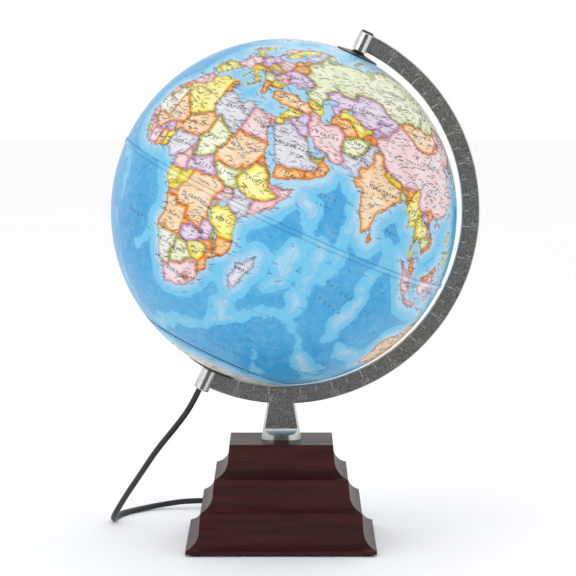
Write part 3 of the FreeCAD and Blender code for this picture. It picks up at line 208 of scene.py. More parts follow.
    "greenland": """-73 78.3, -60 82, -32 83.5, -20 81.5, -19 76, -22 70.5, -32 68, -40 65, -43 60,
        -48 61, -53.5 66.5, -54.5 70, -58 75, -68 76""",
    "baffin": """-80 73.5, -72 71.5, -62 66.5, -65 62.5, -72 64, -73 67.5, -85 70, -89 70.5,
        -86 73.5""",
    "victoria": "-117 70, -105 69, -101 70, -105 73, -115 73.3",
    "banks": "-125 72, -120 71.5, -117 73.5, -123 74.3",
    "ellesmere": "-88 76.5, -78 77, -62 82.5, -75 83, -92 81",
    "queen_isles": "-110 75, -97 75.5, -95 77.5, -106 78.5, -116 76.5",
    "southampton": "-87 64, -81 63.8, -84 65.8",
    "newfoundland": "-59.3 47.7, -53 46.7, -53 48.5, -55.8 51.5, -57.5 50",
    "vancouver": "-128 50.7, -123.5 48.4, -125 50",
    "cuba": "-84.8 21.9, -82 23.1, -77 21.7, -74.2 20.2, -77.5 19.9, -78 20.7, -82 22.3",
    "hispaniola": "-74.4 18.4, -73 19.9, -70 19.8, -68.4 18.6, -71 18",
    "jamaica": "-78.3 18.4, -76.3 18.2, -77 17.9",
    "puerto_rico": "-67.2 18.4, -65.7 18.4, -65.9 18, -67.2 18",
    "falklands": "-61 -51.8, -58 -51.5, -58.5 -52.2",
}

LAKES = {
    "caspian": """47 45, 49 46.3, 53 46.8, 53.2 45.2, 51 44.5, 50.3 44.3, 52.5 42.2, 53.8 41,
        53 39.5, 53.9 37, 51 36.8, 49.2 37.5, 48.9 38.8, 49.4 40.3, 48 42, 47.5 43, 46.8 44.6""",
    "victoria_lake": "31.7 -1, 33 0.3, 34.2 -0.2, 33.9 -1.8, 32.8 -2.8, 31.8 -2.4",
    "tanganyika": "29.2 -3.4, 29.8 -4.6, 31.1 -8.6, 30.4 -7.8, 29.2 -5.6",
    "malawi_lake": "34 -9.6, 34.9 -11.5, 35 -14.2, 34.3 -12.5",
    "aral": "58.3 44.5, 60.5 44, 61.2 46, 59.5 46.2",
    "balkhash": "73.8 45.4, 75.5 46.4, 79 46.4, 75.8 46.9",
    "baikal": "103.8 51.5, 106 52.2, 109.8 55.7, 109 55.5, 105.5 52.6",
    "ladoga": "30.8 60.3, 33 60.6, 31 61.6",
    "superior": "-92 46.7, -87 46.6, -84.6 46.6, -86 48.6, -89 48.2",
    "michigan": "-87.5 41.8, -86.3 42.2, -85.2 45.6, -87.8 45",
    "huron": "-82.4 43.2, -81.6 44, -80.2 44.8, -83.5 46, -83.4 44.2",
    "erie": "-83.2 41.8, -79 42.8, -80.5 42.7",
    "winnipeg": "-97 50.5, -96.8 51.8, -98.8 53.6, -97.8 53.7",
    "slave": "-115 61, -110 62.5, -113 62.2",
    "bear": "-124 66.3, -119 65.8, -121 67",
}

# Countries, painted in this order over each continent. The tint comes first, then the outline,
# which may run out over the sea, because the coast cuts it there.
COUNTRIES = [
    ("cream", "-180 -90, 180 -90, 180 -60, -180 -60"),
    ("green", "19 41, 180 41, 180 82, 19 82"),
    ("green", "-180 64, -168.5 64, -168.5 72, -180 72"),
    # Africa
    ("pink", "-14 36.5, -2.2 36, -1.8 34.5, -1.2 32.3, -3 30.5, -8.7 28.7, -8.7 27.7, -14 27.7"),
    ("peach", "-14 27.7, -8.7 27.7, -8.7 26, -12 26, -12 23.4, -13 23, -13 21.3, -18 20.8, "
     "-18 27"),
    ("yellow", """-2.2 36, 8.6 38, 8.3 34.5, 9.5 30.2, 10 26.5, 12 23.5, 3.3 19, 1.2 21, -4.8 25,
        -8.7 27.3, -8.7 28.7, -3 30.5, -1.2 32.3"""),
    ("peach", "8.6 38, 12 38, 12 33.5, 11.5 32.5, 10 31, 9.5 30.2, 8.3 34.5"),
    ("grey", """11.5 33.4, 11.5 32.4, 10 31, 9.5 30.2, 10 26.5, 12 23.5, 14 22.5, 16 23.4, 24 19.5,
        24 20, 25 20, 25 33.5"""),
    ("pink", "25 33, 25 22, 31.5 22, 37.5 22, 36 26, 34.9 29.5, 34.2 31.5, 34 33"),
    ("peach", """24 20, 25 20, 25 22, 37.5 22, 38.5 18, 37 17, 36.5 14.3, 35 12.5, 34 10.5,
        33.4 9.8, 33 12.2, 32 10, 27 9.6, 24.5 8.9, 23 9, 22.5 12.5, 22 13, 24 15.7, 24 19.5"""),
    ("green", """23.8 8.8, 25 10.3, 28 9.5, 32 10, 33 12.2, 33.2 10.5, 34 9.5, 34.2 8.3, 33 7.7,
        35.3 5.4, 34 4.2, 31 3.7, 29.5 4.4, 27.4 5.2"""),
    ("green", "15 23, 16 23.4, 24 19.5, 24 15.7, 22 13, 22.5 11, 19 9, 15.5 7.5, 15.2 10, "
     "13.5 14, 15.5 17"),
    ("peach", """12 23.5, 14 22.6, 15.3 22.9, 15.5 17, 13.5 14, 11 13.4, 7 13.1, 4 13.5, 3.6 11.8,
        2.2 12.3, 0.2 14.9, 3.5 15.4, 4.2 17, 4.2 19.1, 6 19.5"""),
    ("peach", """-12.2 14.8, -11.5 15.5, -5.5 15.5, -6.5 25, -4.8 25, 1.2 21.1, 4.2 19.1, 4.2 17,
        3.5 15.4, 0.2 14.9, -3 13.5, -5.3 11.5, -5.5 10.4, -8 10.3, -8.8 11.3, -11.4 12.4"""),
    ("cream", """-18 16.2, -16.2 16.3, -12.3 14.9, -11.5 15.5, -5.5 15.5, -6.5 25, -4.9 25,
        -8.7 27.3, -8.7 26, -12 26, -12 23.4, -13 23, -13 21.3, -18 21"""),
    ("pink", "-18.5 16.2, -16.2 16.3, -12.3 14.9, -11.4 12.4, -16.8 12.3, -18.5 12.5"),
    ("pink", "-17 12.4, -13.7 12.6, -11.4 12.4, -8.8 11.3, -8 10.3, -8 8, -9.5 7.5, -10.5 8.5, "
     "-13 9, -16 10"),
    ("yellow", "-14 9, -11 9.9, -10.5 8.5, -11.5 6.5, -14 7"),
    ("grey", "-11.5 6.5, -10.5 8.4, -9.5 7.5, -8.4 7.5, -7.5 4, -10 4"),
    ("pink", "-8.4 7.5, -8 10.3, -5.5 10.4, -2.8 9.8, -3 4.5, -7.5 4"),
    ("lilac", "-5.5 10.4, -5.3 11.5, -3 13.5, 0.2 15, 2.2 12.3, 0.9 11, -2.8 11, -2.8 9.8"),
    ("peach", "-2.8 11, 0 11.1, 0.5 8, 1.2 6, 1 4, -3 4"),
    ("yellow", "0 11.1, 0.9 11, 2.2 12.3, 3.6 11.7, 2.7 9, 2.7 5, 1.2 5, 0.6 6.5, 0.5 8"),
    ("grey", """2.7 5.5, 2.7 9, 3.6 11.7, 4 13.5, 7 13.1, 13.5 13.8, 14.2 12.5, 13 9.5, 11.5 6.5,
        9 5.8, 8.6 3, 6 3"""),
    ("pink", """8.6 3, 9 5.8, 11.5 6.5, 13 9.5, 14.5 12.8, 15.2 10, 14 9.8, 15.5 7.5, 14.6 5,
        16.1 2.2, 13 2.2, 9 2.2"""),
    ("lilac", """15.5 7.5, 19 9, 22.5 11, 23.6 8.8, 27.4 5.2, 25 4.9, 22.5 4.1, 18.6 4.4, 18.5 3.5,
        16.1 2.2, 14.6 5"""),
    ("yellow", "9 2.2, 13 2.2, 14.4 1.3, 14 -2, 11.2 -3.9, 8 -2, 8 1"),
    ("yellow", """13 2.2, 16.1 2.2, 16.6 3.5, 18.6 3.5, 17.8 0, 16 -2, 15.5 -4, 13 -5, 11 -5.2,
        11.2 -3.8, 14 -2, 14.4 1.3"""),
    ("peach", """18.6 3.5, 18.6 4.4, 22.5 4.1, 25 4.9, 27.4 5.1, 29.5 4.4, 31 3.7, 31.2 2.2,
        29.8 0.5, 29.6 -1.4, 29.2 -3, 29.4 -4.5, 30.8 -8.3, 28.6 -8.6, 28.4 -11.8, 29.8 -12.2,
        29.8 -13.4, 27 -12, 24 -11, 22 -11.2, 21.8 -7.3, 17.5 -8.1, 16.5 -5.9, 12 -6.2, 13 -4.8,
        16 -4.2, 16 -2, 17.8 0"""),
    ("pink", "31 3.7, 34 4.2, 35 1.5, 34 0, 33.9 -1, 29.6 -1.4, 29.8 0.5, 31.2 2.2"),
    ("grey", "34 4.2, 35.3 5.4, 36 4.5, 41.8 4, 41 2, 41.5 -2, 39.2 -5, 37.6 -3, 33.9 -1, "
     "34 0, 35 1.5"),
    ("yellow", """36.5 14.3, 40 14.5, 42.4 12.5, 42 11, 43 10.5, 44 9, 47.8 8, 45 5, 42 4.2,
        39.5 3.5, 36 4.5, 35.3 5.4, 33 7.8, 34.2 9.5, 34.9 11, 36 12.5"""),
    ("orange", "37 17, 38.5 18.5, 43.2 12.8, 42.4 12.5, 40 14.5, 36.5 14.3"),
    ("green", "42.4 12.5, 43.5 12.8, 43.6 11.3, 42 11"),
    ("pink", "43.3 11.5, 44 12.5, 53 13, 52 8, 46 0, 41.6 -2.4, 41 2, 42 4.2, 45 5, 48 8, "
     "44 9, 42.8 10.8"),
    ("yellow", """29.2 -3, 30.5 -1, 33.9 -1, 37.6 -3, 40 -5, 41.5 -10.5, 38 -11.4, 34.8 -11.5,
        33.9 -9.6, 31 -8.3, 29.4 -5"""),
    ("lilac", "29 -1.4, 30.8 -1.1, 30.8 -3.3, 29.5 -4.4"),
    ("peach", """11 -6.2, 16.5 -5.9, 17.5 -8.1, 21.8 -7.3, 22 -11.2, 24 -11, 24 -13, 22 -13,
        22 -16.2, 23.4 -17.6, 18.5 -17.4, 14 -17.4, 10 -17.3, 10 -12"""),
    ("lilac", """24 -11, 27 -12, 29.8 -13.4, 29.8 -12.2, 28.4 -11.8, 28.6 -8.6, 30.8 -8.3, 33 -9.5,
        33.3 -13.8, 30.2 -15, 28.9 -16, 25.3 -17.8, 23.4 -17.6, 22 -16.2, 22 -13, 24 -13"""),
    ("green", "33 -9.5, 34.8 -11.5, 35.8 -15.5, 35 -17, 34.3 -14.5, 33.2 -14"),
    ("orange", """41 -10.5, 43 -15, 36 -20, 37 -25, 33 -27, 32 -26.8, 32 -24.5, 31.3 -22.4,
        33 -19.8, 33 -16.5, 30.4 -15.8, 30.2 -15, 33.3 -14, 34.5 -14.5, 35 -17, 35.8 -16,
        34.8 -11.5, 38 -11.3"""),
    ("yellow", "25.3 -17.8, 28.9 -16, 30.4 -15.8, 33 -16.5, 33 -19.8, 31.3 -22.4, 29.4 -22.2, "
     "27.7 -20.5"),
    ("green", """21 -18.3, 25.3 -17.8, 26.2 -19, 27.7 -20.5, 29.4 -22.2, 26.5 -24.3, 25.5 -25.7,
        21 -26.8, 20 -25, 20 -22, 21 -22"""),
    ("cream", "10 -17.2, 14 -17.4, 18.5 -17.4, 25.3 -17.8, 21 -18.3, 21 -22, 20 -22, 20 -28.4, "
     "14 -29, 12 -24"),
    ("pink", """14 -28.6, 20 -28.4, 20 -25, 21 -26.8, 25.5 -25.7, 26.5 -24.3, 29.4 -22.2,
        31.3 -22.4, 32 -25.9, 32.9 -26.9, 34 -29, 26 -37, 16 -37"""),
    ("yellow", "27.2 -29.6, 28.7 -28.6, 29.4 -29.4, 28.2 -30.6"),
    ("grey", "42 -11, 52 -11, 52 -26, 42 -26"),
    # Arabia and the Middle East
    ("yellow", "34 33.5, 35.7 33.2, 36.8 32.3, 39.2 32.1, 37 31.5, 38 30.5, 36 29.2, "
     "34.9 29.3, 34.2 31.3"),
    ("yellow", "35 33, 35.7 33, 36.8 32.3, 38.8 33.4, 41 34.5, 42.4 37.1, 36.6 36.8, 35 36"),
    ("grey", """34.9 29.4, 36 29.2, 38 30.5, 37 31.5, 39.2 32.1, 42 31.1, 44.7 29.2, 46.5 29.1,
        47.7 28.5, 48.5 28.5, 51 27, 50.8 24.8, 51.6 24.1, 52 23, 55.2 22.7, 55.7 22, 55 20, 52 19,
        48.2 18.2, 46.8 17.3, 43.3 17.4, 42 16.3, 39 19, 35 26"""),
    ("orange", "42 16.3, 43.3 17.4, 46.8 17.3, 48.2 18.2, 52 19, 53.2 16.4, 52 13, 43 11.5, "
     "41.5 14"),
    ("orange", "52 19, 55 20, 55.7 22, 55.4 23, 56 25, 56.4 27, 61 25, 61 21, 57 16, 53.2 16.4"),
    ("green", "51.6 24, 52 23, 55.2 22.7, 55.8 24, 56.3 25.8, 54 25.5"),
    ("yellow", "50.8 24.8, 51.8 24.8, 51.6 26.6, 50.6 26"),
    ("peach", "46.5 29.1, 48.7 28.4, 48.7 30, 47.8 30.1"),
    ("lilac", """39.2 32.1, 38.8 33.4, 41 34.5, 42.4 37.1, 44.8 37.2, 46 35.8, 45.5 34, 47.8 31,
        48.7 29.9, 46.5 29.1, 44.7 29.2, 42 31.1"""),
    ("peach", """25 41.2, 26 42, 28 42, 31 43, 41.6 42.5, 41.5 41.5, 43.5 41.1, 44.8 39.7,
        44.8 37.2, 42.4 37.1, 36.6 36.8, 35.6 35.9, 30 35.5, 26.5 36.3, 26 39, 25.8 40.5"""),
    ("green", "32 34.4, 35 34.8, 34.8 36, 32 35.5"),
    ("pink", """44.8 39.7, 48 39.6, 49 38.4, 50 37.3, 54 37.3, 57 38.2, 61.2 36.6, 60.6 34,
        61 31.5, 61 29.8, 63.2 27.2, 61.6 24.5, 56.5 25.8, 51 27, 48.5 29.9, 47.8 31, 45.5 34,
        46 35.8, 44.8 37.2"""),
    ("green", """61.2 35.6, 64.5 36.5, 66.5 37.4, 69.3 37.1, 71.3 38.2, 71.5 36.8, 74.8 37.3,
        71.3 36, 71 34, 69.3 31.8, 66.5 29.8, 63 29.5, 61 29.8, 61 31.5, 60.6 34"""),
    ("grey", """61 29.8, 66.5 29.8, 69.3 31.8, 71 34, 71.5 36.5, 74.8 37, 77 35.5, 74 33, 74.6 31,
        72 28, 70 28, 69.5 26, 71 24.5, 68.2 23.6, 66 24, 61.6 24, 63.2 27.2"""),
    ("peach", """68 23.5, 71 24.5, 69.5 26, 70 28, 72 28, 74.6 31, 74 33, 74 34.7, 77.5 35.5,
        78.8 34, 78.5 32.5, 81 30.2, 80 28.8, 84 27.4, 88 26.4, 88.1 27.9, 88.8 27.3, 89 26.7,
        92 26.9, 92 27.8, 97.3 28.3, 97 27.1, 95 26, 93.5 23.5, 92.6 21.9, 91.2 23.5, 92.3 25,
        89.8 25.3, 88.3 25, 88.8 22, 88 20, 80.9 13, 79.6 10.5, 79 6, 76 7, 70 20"""),
    ("green", "88.3 24.9, 89 26.2, 89.8 25.3, 92.3 25, 91.3 23.6, 92.6 21.8, 92.3 20.4, 89 21"),
    ("yellow", "80 28.8, 81.2 30.2, 84 29, 88.1 27.9, 88 26.4, 84 27.3"),
    ("orange", "88.9 27.3, 90.5 28.2, 92 27.6, 91.8 26.8, 89 26.8"),
    ("orange", "79.3 5.5, 82.3 5.5, 82.3 10, 79.7 10.1"),
    # Central and eastern Asia
    ("lilac", """46.5 48.5, 51 51.5, 55 50.7, 61.5 51, 61 53.8, 70 55.2, 76.5 54.3, 80 50.8,
        87.3 49.2, 85.5 47.2, 82.5 45.3, 80.2 42.2, 74 43.2, 70.5 42, 68 41, 66 42.5, 61 44.3,
        58.5 45.6, 56 45, 56 41.3, 52.5 42, 50 44.5, 49 46.5"""),
    ("yellow", """56 41.3, 56 45, 58.5 45.6, 61 44.3, 66 42.5, 68 41, 70.5 42, 73 40.8, 70 40.2,
        68 38.2, 67.8 37.2, 66.5 37.4, 62 41, 60 42.2, 57 41.3"""),
    ("orange", "52.5 42, 57 41.3, 60 42.2, 62.2 41, 66.5 37.4, 64.5 36.5, 61.2 35.6, 57 38.2, "
     "54 37.3, 52 40"),
    ("lilac", "70.5 42, 74 43.2, 80.2 42.2, 73.8 39.7, 70 39.6, 73 40.8"),
    ("orange", "67.8 37.2, 68 38.2, 70 40.2, 70 39.6, 73.8 39.7, 74.8 37.3, 71.5 36.8, "
     "71.3 38.2, 69.3 37.1"),
    ("pink", """73.8 39.8, 80.2 42.2, 82.5 45.3, 85.5 47.2, 87.3 49.2, 91 46.9, 95.5 44.3, 97 42.8,
        105 41.7, 111.5 43.5, 112 45, 119.8 46.7, 116 47.8, 116.7 49.9, 120 53.2, 125.6 53,
        130.9 48.8, 134.8 48.3, 133 45, 131 43, 130.6 42.4, 128 42, 124.3 40, 122.5 39, 123.5 36,
        123 30, 118 22, 112 17, 108 17.5, 108 21.6, 105.3 23.3, 102 22.4, 101 21.6, 99 22, 97.7 24,
        98.6 27.5, 97.3 28.4, 92 27.8, 88.8 27.5, 84 29, 81.2 30.2, 78.6 32.5, 78.8 34, 77.5 35.5,
        74.8 37.3"""),
    ("peach", """87.8 49.2, 92 50.8, 98 52, 98.5 50.5, 102.2 51.3, 107 49.8, 114.5 50.2,
        116.7 49.9, 116 47.8, 119.8 46.7, 112 45, 111.5 43.5, 105 41.7, 97 42.8, 95.5 44.3,
        91 46.9"""),
    ("yellow", """92.5 21.9, 93.5 24, 95 26.5, 97.3 28.4, 98.6 27.5, 97.7 24, 99 22, 101 21.6,
        99.5 20.2, 97.8 18.5, 98.8 16.2, 98.3 14.5, 99.5 12, 98.7 10, 97 12, 94 15, 91.5 20.3"""),
    ("yellow", """97.8 18.5, 99.5 20.3, 100.5 20.2, 101.2 17.6, 104 18.3, 105.5 15.5, 102.5 13.6,
        102.8 11.6, 100.5 9, 102 6.2, 100.2 6.5, 98 6.5, 98.7 10, 99.5 12, 98.3 14.5,
        98.8 16.2"""),
    ("lilac", "100.3 20.5, 102 22.4, 104.5 20.5, 105 18.7, 107.5 15.8, 107.3 14.4, 105.5 15.5, "
     "104 18.3"),
    ("green", "102.5 13.6, 103.5 14.3, 107.3 14.4, 107.5 12.3, 105 10.6, 104.3 10, 102.5 10.5"),
    ("orange", """102 22.4, 105.3 23.3, 108.2 21.6, 107 18.8, 110.5 15, 110 11, 105 8, 104.4 10.4,
        107.5 12.3, 107.3 14.4, 107.5 15.8, 105 18.7, 104.5 20.5"""),
    ("orange", "124.3 40, 128 42, 130.8 42.6, 128.6 38.5, 126.6 37.8, 124 37.9"),
    ("yellow", "124 37.8, 126.6 37.8, 128.6 38.6, 131 37, 129.5 34.6, 125 33"),
    ("pink", "128 30, 129.8 34, 133 36.5, 138.5 41, 140 46, 146.5 44, 143 34, 131 30"),
    ("yellow", "119.5 21.5, 122.5 21.5, 122.5 26, 119.7 25"),
    ("yellow", "116 8, 119 5, 127.5 5, 127 14, 122 20, 119 16"),
    ("pink", "94 6.5, 100 4.5, 104.3 1.2, 109 2, 118 4.2, 126 5, 141 1, 141 -11, 105 -11"),
    ("orange", "100 6.5, 102.3 6.4, 105 1, 103.4 1.2, 100 4"),
    ("orange", "109.4 2, 111.5 1, 114.5 1.5, 115.8 4.3, 118 4.2, 120 5.5, 117 8, 109 3"),
    ("green", "141 1, 156 -1, 156 -12, 141 -12"),
    ("peach", "112 -10.3, 142 -10.2, 156 -20, 155 -45, 112 -40"),
    ("lilac", "165 -33, 180 -33, 180 -50, 165 -50"),
    # Europe
    ("yellow", "-12 50, 2 50, 2 61, -12 61"),
    ("pink", "-11 51, -6 51.5, -5.3 55.6, -11 56"),
    ("lilac", "-25 62, -12 62, -12 68, -25 68"),
    ("pink", "4 57, 11 59, 12.2 61, 12 64, 16 67, 20.5 69, 25.8 68.9, 31 70, 30 73, 10 70, 2 62"),
    ("yellow", "11 59, 12.2 61, 12 64, 16 67, 20.5 69, 24 65.8, 22 64, 18.8 61, 20 58, "
     "14 54.9, 12.4 55.5"),
    ("grey", "20.5 69, 25.8 69.6, 29 69, 30 67.7, 30 64, 31.3 62.8, 28 60.3, 22 59.4, "
     "19.5 61.5, 24 65.8"),
    ("peach", "20 54.4, 20 58.8, 23 59.7, 27.8 59.6, 28 56, 26.5 55.6, 24 54, 23 54.4"),
    ("orange", "7.5 54.9, 9.8 54.8, 12.7 54.5, 12.7 56.2, 10.8 58, 7.5 57.5"),
    ("yellow", "-11 44.5, -1.8 43.3, 3.5 42.4, 4.5 40, 0 37, -5.5 35.7, -7.4 37, -7 39, "
     "-6.8 41.9, -11 42"),
    ("green", "-11 42, -6.5 41.9, -7 39, -7.4 37, -11 36"),
    ("pink", "-6 48, 2.5 51.2, 8.2 49, 7.6 47.6, 7 46, 7.5 43.8, 7.6 43, 3.3 42.3, -1.8 43.3, "
     "-4 46"),
    ("lilac", "8.3 41.3, 10 41.3, 10 43.5, 8.3 43.5"),
    ("yellow", "7 46, 10.5 46.8, 13.8 46.5, 13.8 45.5, 19 41, 18 37, 12 36, 7.8 38, 7.8 41.2, "
     "7.5 43.8"),
    ("orange", "2.5 51.2, 4.5 53.3, 7 53.6, 6 51.8, 6 49.8, 5.8 49.5"),
    ("lilac", "7 53.8, 9 55, 11 54.9, 14.3 54.5, 15 51, 12.2 50.3, 13.8 48.7, 13 47.6, "
     "7.6 47.6, 8.2 49, 6 49.8"),
    ("orange", "6 46.2, 7.6 47.6, 13 47.6, 13.8 48.7, 17 48.2, 16.2 46.8, 13.8 46.5, "
     "10.5 46.8, 7 46"),
    ("pink", "14.3 54.5, 19 55, 23 54.3, 23.6 52, 24 50.5, 22.5 49.1, 18.8 49.5, 15 51"),
    ("yellow", "12.2 50.3, 15 51, 18.8 49.5, 22.5 49.1, 22.2 48.3, 17 48, 13.8 48.7"),
    ("grey", "16.2 46.8, 17 48.1, 22.2 48.3, 20.3 46.1, 18 45.8"),
    ("green", "13.3 45.5, 16.2 46.7, 18 45.8, 20.3 46.1, 22.6 44.2, 22.5 42.3, 19.3 41.8, 13 44"),
    ("pink", "20.3 46.1, 22.5 48, 26.5 48.2, 28.2 45.5, 29.9 45.2, 28.8 43.7, 22.6 44.2, 21 45"),
    ("yellow", "22.6 44.2, 28.8 43.8, 28.2 41.9, 26.3 41.7, 23 41.3, 22.5 42.4"),
    ("orange", "19 42, 22.5 42.4, 23 41.3, 26.3 41.7, 26 40.6, 28.3 36, 23 34.5, 19 38"),
    ("peach", "23.6 52, 24 54, 27 55.8, 31 55.5, 32 53, 31.5 51.6, 24 51.6"),
    ("lilac", """22.2 48.2, 24 50.6, 23.7 51.6, 31.5 51.6, 34.5 51.2, 40 49.5, 38.2 47, 36 44,
        33 44, 30 45.2, 28.2 45.5, 26.8 48.2, 24.8 47.8"""),
    ("yellow", "39.8 43.4, 44 42.6, 46.5 41.9, 48.8 41.8, 50.6 40.3, 49.1 38.4, 46.5 39, "
     "44.8 39.7, 41.3 41.4"),
    # The Americas
    ("pink", "-141 41, -50 41, -50 84, -95 84, -141 74"),
    ("cream", "-75 78, -68 84, -10 84, -10 58, -50 58, -60 70"),
    ("yellow", """-125.5 49, -95 49, -88 48.2, -83 46, -82.5 42.5, -79 42.8, -75 45, -71 45.2,
        -69 47.4, -67 45, -66 42, -74 30, -79 24, -97 25.5, -99.5 27.5, -103 29, -106.5 31.8,
        -111 31.3, -114.8 32.5, -117.2 32.5, -126 38"""),
    ("yellow", "-170 50, -150 54, -136 56, -130.5 54.8, -135 59.5, -141 60.3, -141 73, -168.9 72"),
    ("yellow", "-162 16, -152 16, -152 24, -162 24"),
    ("orange", """-118 32.5, -114.8 32.5, -111 31.3, -106.5 31.8, -103 29, -99.5 27.5, -97 25.5,
        -90 24, -86 22, -88 18.2, -91 17.8, -92.2 14.5, -105 14"""),
    ("green", "-92.3 14.3, -91 17.8, -88 18.2, -88.3 15.9, -90 13"),
    ("lilac", "-90 13, -88.3 15.9, -83 16, -83 12.6, -87.8 12.5"),
    ("yellow", "-88 12.8, -83 15, -83 11, -86 10.5"),
    ("pink", "-86 11, -83 11, -82.5 9.5, -77 9.5, -77.3 6.8, -84 6.8, -87 9.5"),
    ("lilac", "-86 19, -73.8 19.5, -73.8 24, -86 24"),
    ("green", "-75 17, -65 17, -65 20.5, -73.8 20.5"),
    ("grey", "-72 -17.5, -69.5 -17.5, -68 -22, -67 -23, -69 -28, -70 -33, -71.5 -44, -72 -50, "
     "-66 -56, -80 -56"),
    ("peach", """-67 -22.8, -62.7 -22, -57.6 -25.5, -54.6 -25.6, -53.7 -27, -57.6 -30.2, -58.3 -34,
        -50 -38, -60 -56, -68.5 -52.4, -72 -50, -71.5 -44, -71.3 -38, -70 -33, -69.5 -28,
        -68.5 -25"""),
    ("yellow", "-57.6 -30.2, -53.5 -33.7, -52 -36, -58.5 -35"),
    ("green", """-51.5 4.5, -53 2.3, -60 1.5, -60 5, -64 4, -64 2, -67 1.2, -69.8 1, -69.5 -1,
        -70 -4.3, -73.8 -7.3, -73 -9.5, -70.5 -9.5, -69.5 -11, -65.3 -10, -65 -12, -60 -13.8,
        -60 -16, -58 -17.5, -58 -20, -57.8 -22, -55.7 -22.4, -54.3 -24, -54.6 -25.6, -53.7 -27,
        -57.6 -30.2, -53.5 -33.7, -50 -36, -38 -24, -32 -8, -45 5"""),
    ("pink", "-83 -3.4, -80 -4.5, -78.5 -3.3, -75.3 0, -70 -2.6, -70 -4.3, -73.8 -7.3, -73 -9.5, -70.5 -9.5, "
             "-69.5 -11, -69 -15, -69.5 -17.5, -70.5 -18.4, -80 -18"),
    ("yellow", """-69.5 -11, -65.3 -9.8, -65 -12, -60 -13.8, -60 -16, -58 -17.5, -58 -20,
        -62 -19.5, -62.7 -22, -67 -22.8, -68.2 -21.5, -69.5 -17.5, -69 -15"""),
    ("lilac", "-62.7 -22, -62 -19.5, -58 -20, -57.8 -22, -55.7 -22.4, -54.6 -25.6, "
     "-55.7 -27.4, -58.6 -27.3"),
    ("orange", "-83 -3.4, -80 -4.5, -78.5 -3.3, -75.3 0, -79 1.4, -83 1"),
    ("yellow", """-77.8 8, -75 12.5, -71.5 13, -72.5 9, -72 7.2, -67.5 6.2, -67 1.2, -69.8 1,
        -70 -4.3, -75.3 0, -79 1.4, -78.6 6"""),
    ("grey", "-71.5 13, -60 12, -60 8, -61 5.5, -60 5, -64 4, -64 2, -67 1.2, -67.5 6.2, "
     "-72 7.2, -72.5 9"),
    ("orange", "-60 8.5, -57 7.5, -56.5 2, -59.8 1.5, -60 5, -61 5.8"),
    ("lilac", "-57 7, -54 6.5, -54.3 2.3, -56.5 2"),
    ("pink", "-54 6.5, -51 5, -52.8 2.3, -54.3 2.3"),
]

# Rivers, and the pale ridges of the sea floor.
RIVERS = [
    "30.9 31.3, 31 29, 32.7 25.5, 31 21.5, 33.5 18, 32.5 15.5, 32 12, 30.5 9.5, 31.5 5, "
    "31.5 2, 33 0.3",
    "12.5 -6, 15.5 -4.2, 18 1, 22 2, 25 0.5, 26 -4, 27 -9",
    "5.5 5, 6.7 7.5, 4.5 11, 1 15.5, -3 16.7, -6 13.5, -10 10",
    "36 -18.7, 32 -16, 29 -16, 25.5 -17.8, 23 -14",
    "18 -28.7, 22 -29, 26 -30",
    "48.4 30.2, 46 32, 43 35, 40 37", "67.3 24.2, 68.5 27.5, 71 31, 72 34, 76 35.3, 80 32.5",
    "89.5 22.5, 88 24.7, 84 25.5, 80.5 26.5, 78 30", "90 23.5, 90.5 26.3, 95 28, 92 29.3, 84 29.6",
    "81.8 16.6, 79 18.8, 75 19.6", "95.5 15.9, 95.3 19, 97 24",
    "106.3 10, 105.5 14, 101 18, 101 22, 98 29",
    "121.5 31.7, 116 30, 112 30.5, 106 29.5, 103 26.5, 98 32",
    "118.6 37.6, 114 35, 110 38, 108 40.5, 103 36",
    "141 53, 136 50, 130 48.5, 124 53, 118 51", "127 72.8, 125 66, 129 61, 118 59, 107 55",
    "83 71.5, 88 66, 92 58, 93 51.5", "72 66.5, 66 61, 76 60, 83 54",
    "47.5 46, 45 49, 50 53.3, 46 56.2, 39 57",
    "29.5 45.3, 25 43.8, 20 45.5, 18.8 47.8, 12 48.8, 9 48", "33 46.6, 35 48.5, 31 51",
    "39.5 47.3, 42 49, 39 53",
    "4 51.9, 7 51, 8 48.5", "-50 -0.5, -55 -2, -60 -3.2, -67 -3, -73 -4.5",
    "-58.4 -33.5, -58.5 -28, -56.5 -22",
    "-62 8.8, -66.5 7, -66 3", "-89.5 29.3, -91 34, -89.3 38, -91 42, -94 46",
    "-90.2 38.7, -95 40, -101 45, -110 47.5",
    "-135 69, -128 65, -120 61.5", "-97.5 26, -101 29.5, -106 33", "138.5 -35.5, 141 -34, 147 -36",
]
RIDGES = [
    "45 12, 52 13.5, 57 10, 60 4, 66 0, 68 -6, 67 -13, 66 -19, 69 -25",
    "69 -25, 62 -29, 55 -34, 45 -40, 33 -46, 15 -52, 0 -54",
    "69 -25, 77 -33, 85 -41, 98 -46, 115 -50, 140 -51",
    "72 14, 73 6, 73 -2, 72 -9", "60 -4, 58 -10, 61 -16, 57 -20", "88 8, 88 -5, 88 -18, 87 -30",
    "95 -30, 105 -31, 112 -33", "46 -27, 45 -33, 46 -38", "40 -20, 41 -25",
    "65 -46, 70 -52, 78 -58",
    "-18 66, -30 58, -33 50, -29 40, -38 30, -46 22, -42 10, -32 2, -14 -2, -13 -15, -13 -30, "
    "-12 -45, 0 -54",
    "2 -28, 8 -24, 12 -20", "-38 -30, -32 -31", "145 -52, 160 -60, 180 -63",
    "-180 -63, -150 -57, -120 -50, -112 -30",
    "-112 -30, -108 -10, -105 8, -108 20", "-85 -26, -100 -26, -112 -27",
    "170 50, 169 40, 175 34, -178 30",
    "145 12, 142 20, 141 30", "160 -22, 165 -28, 170 -33", "-178 28, -165 24, -155 20",
]

# ---- materials ----

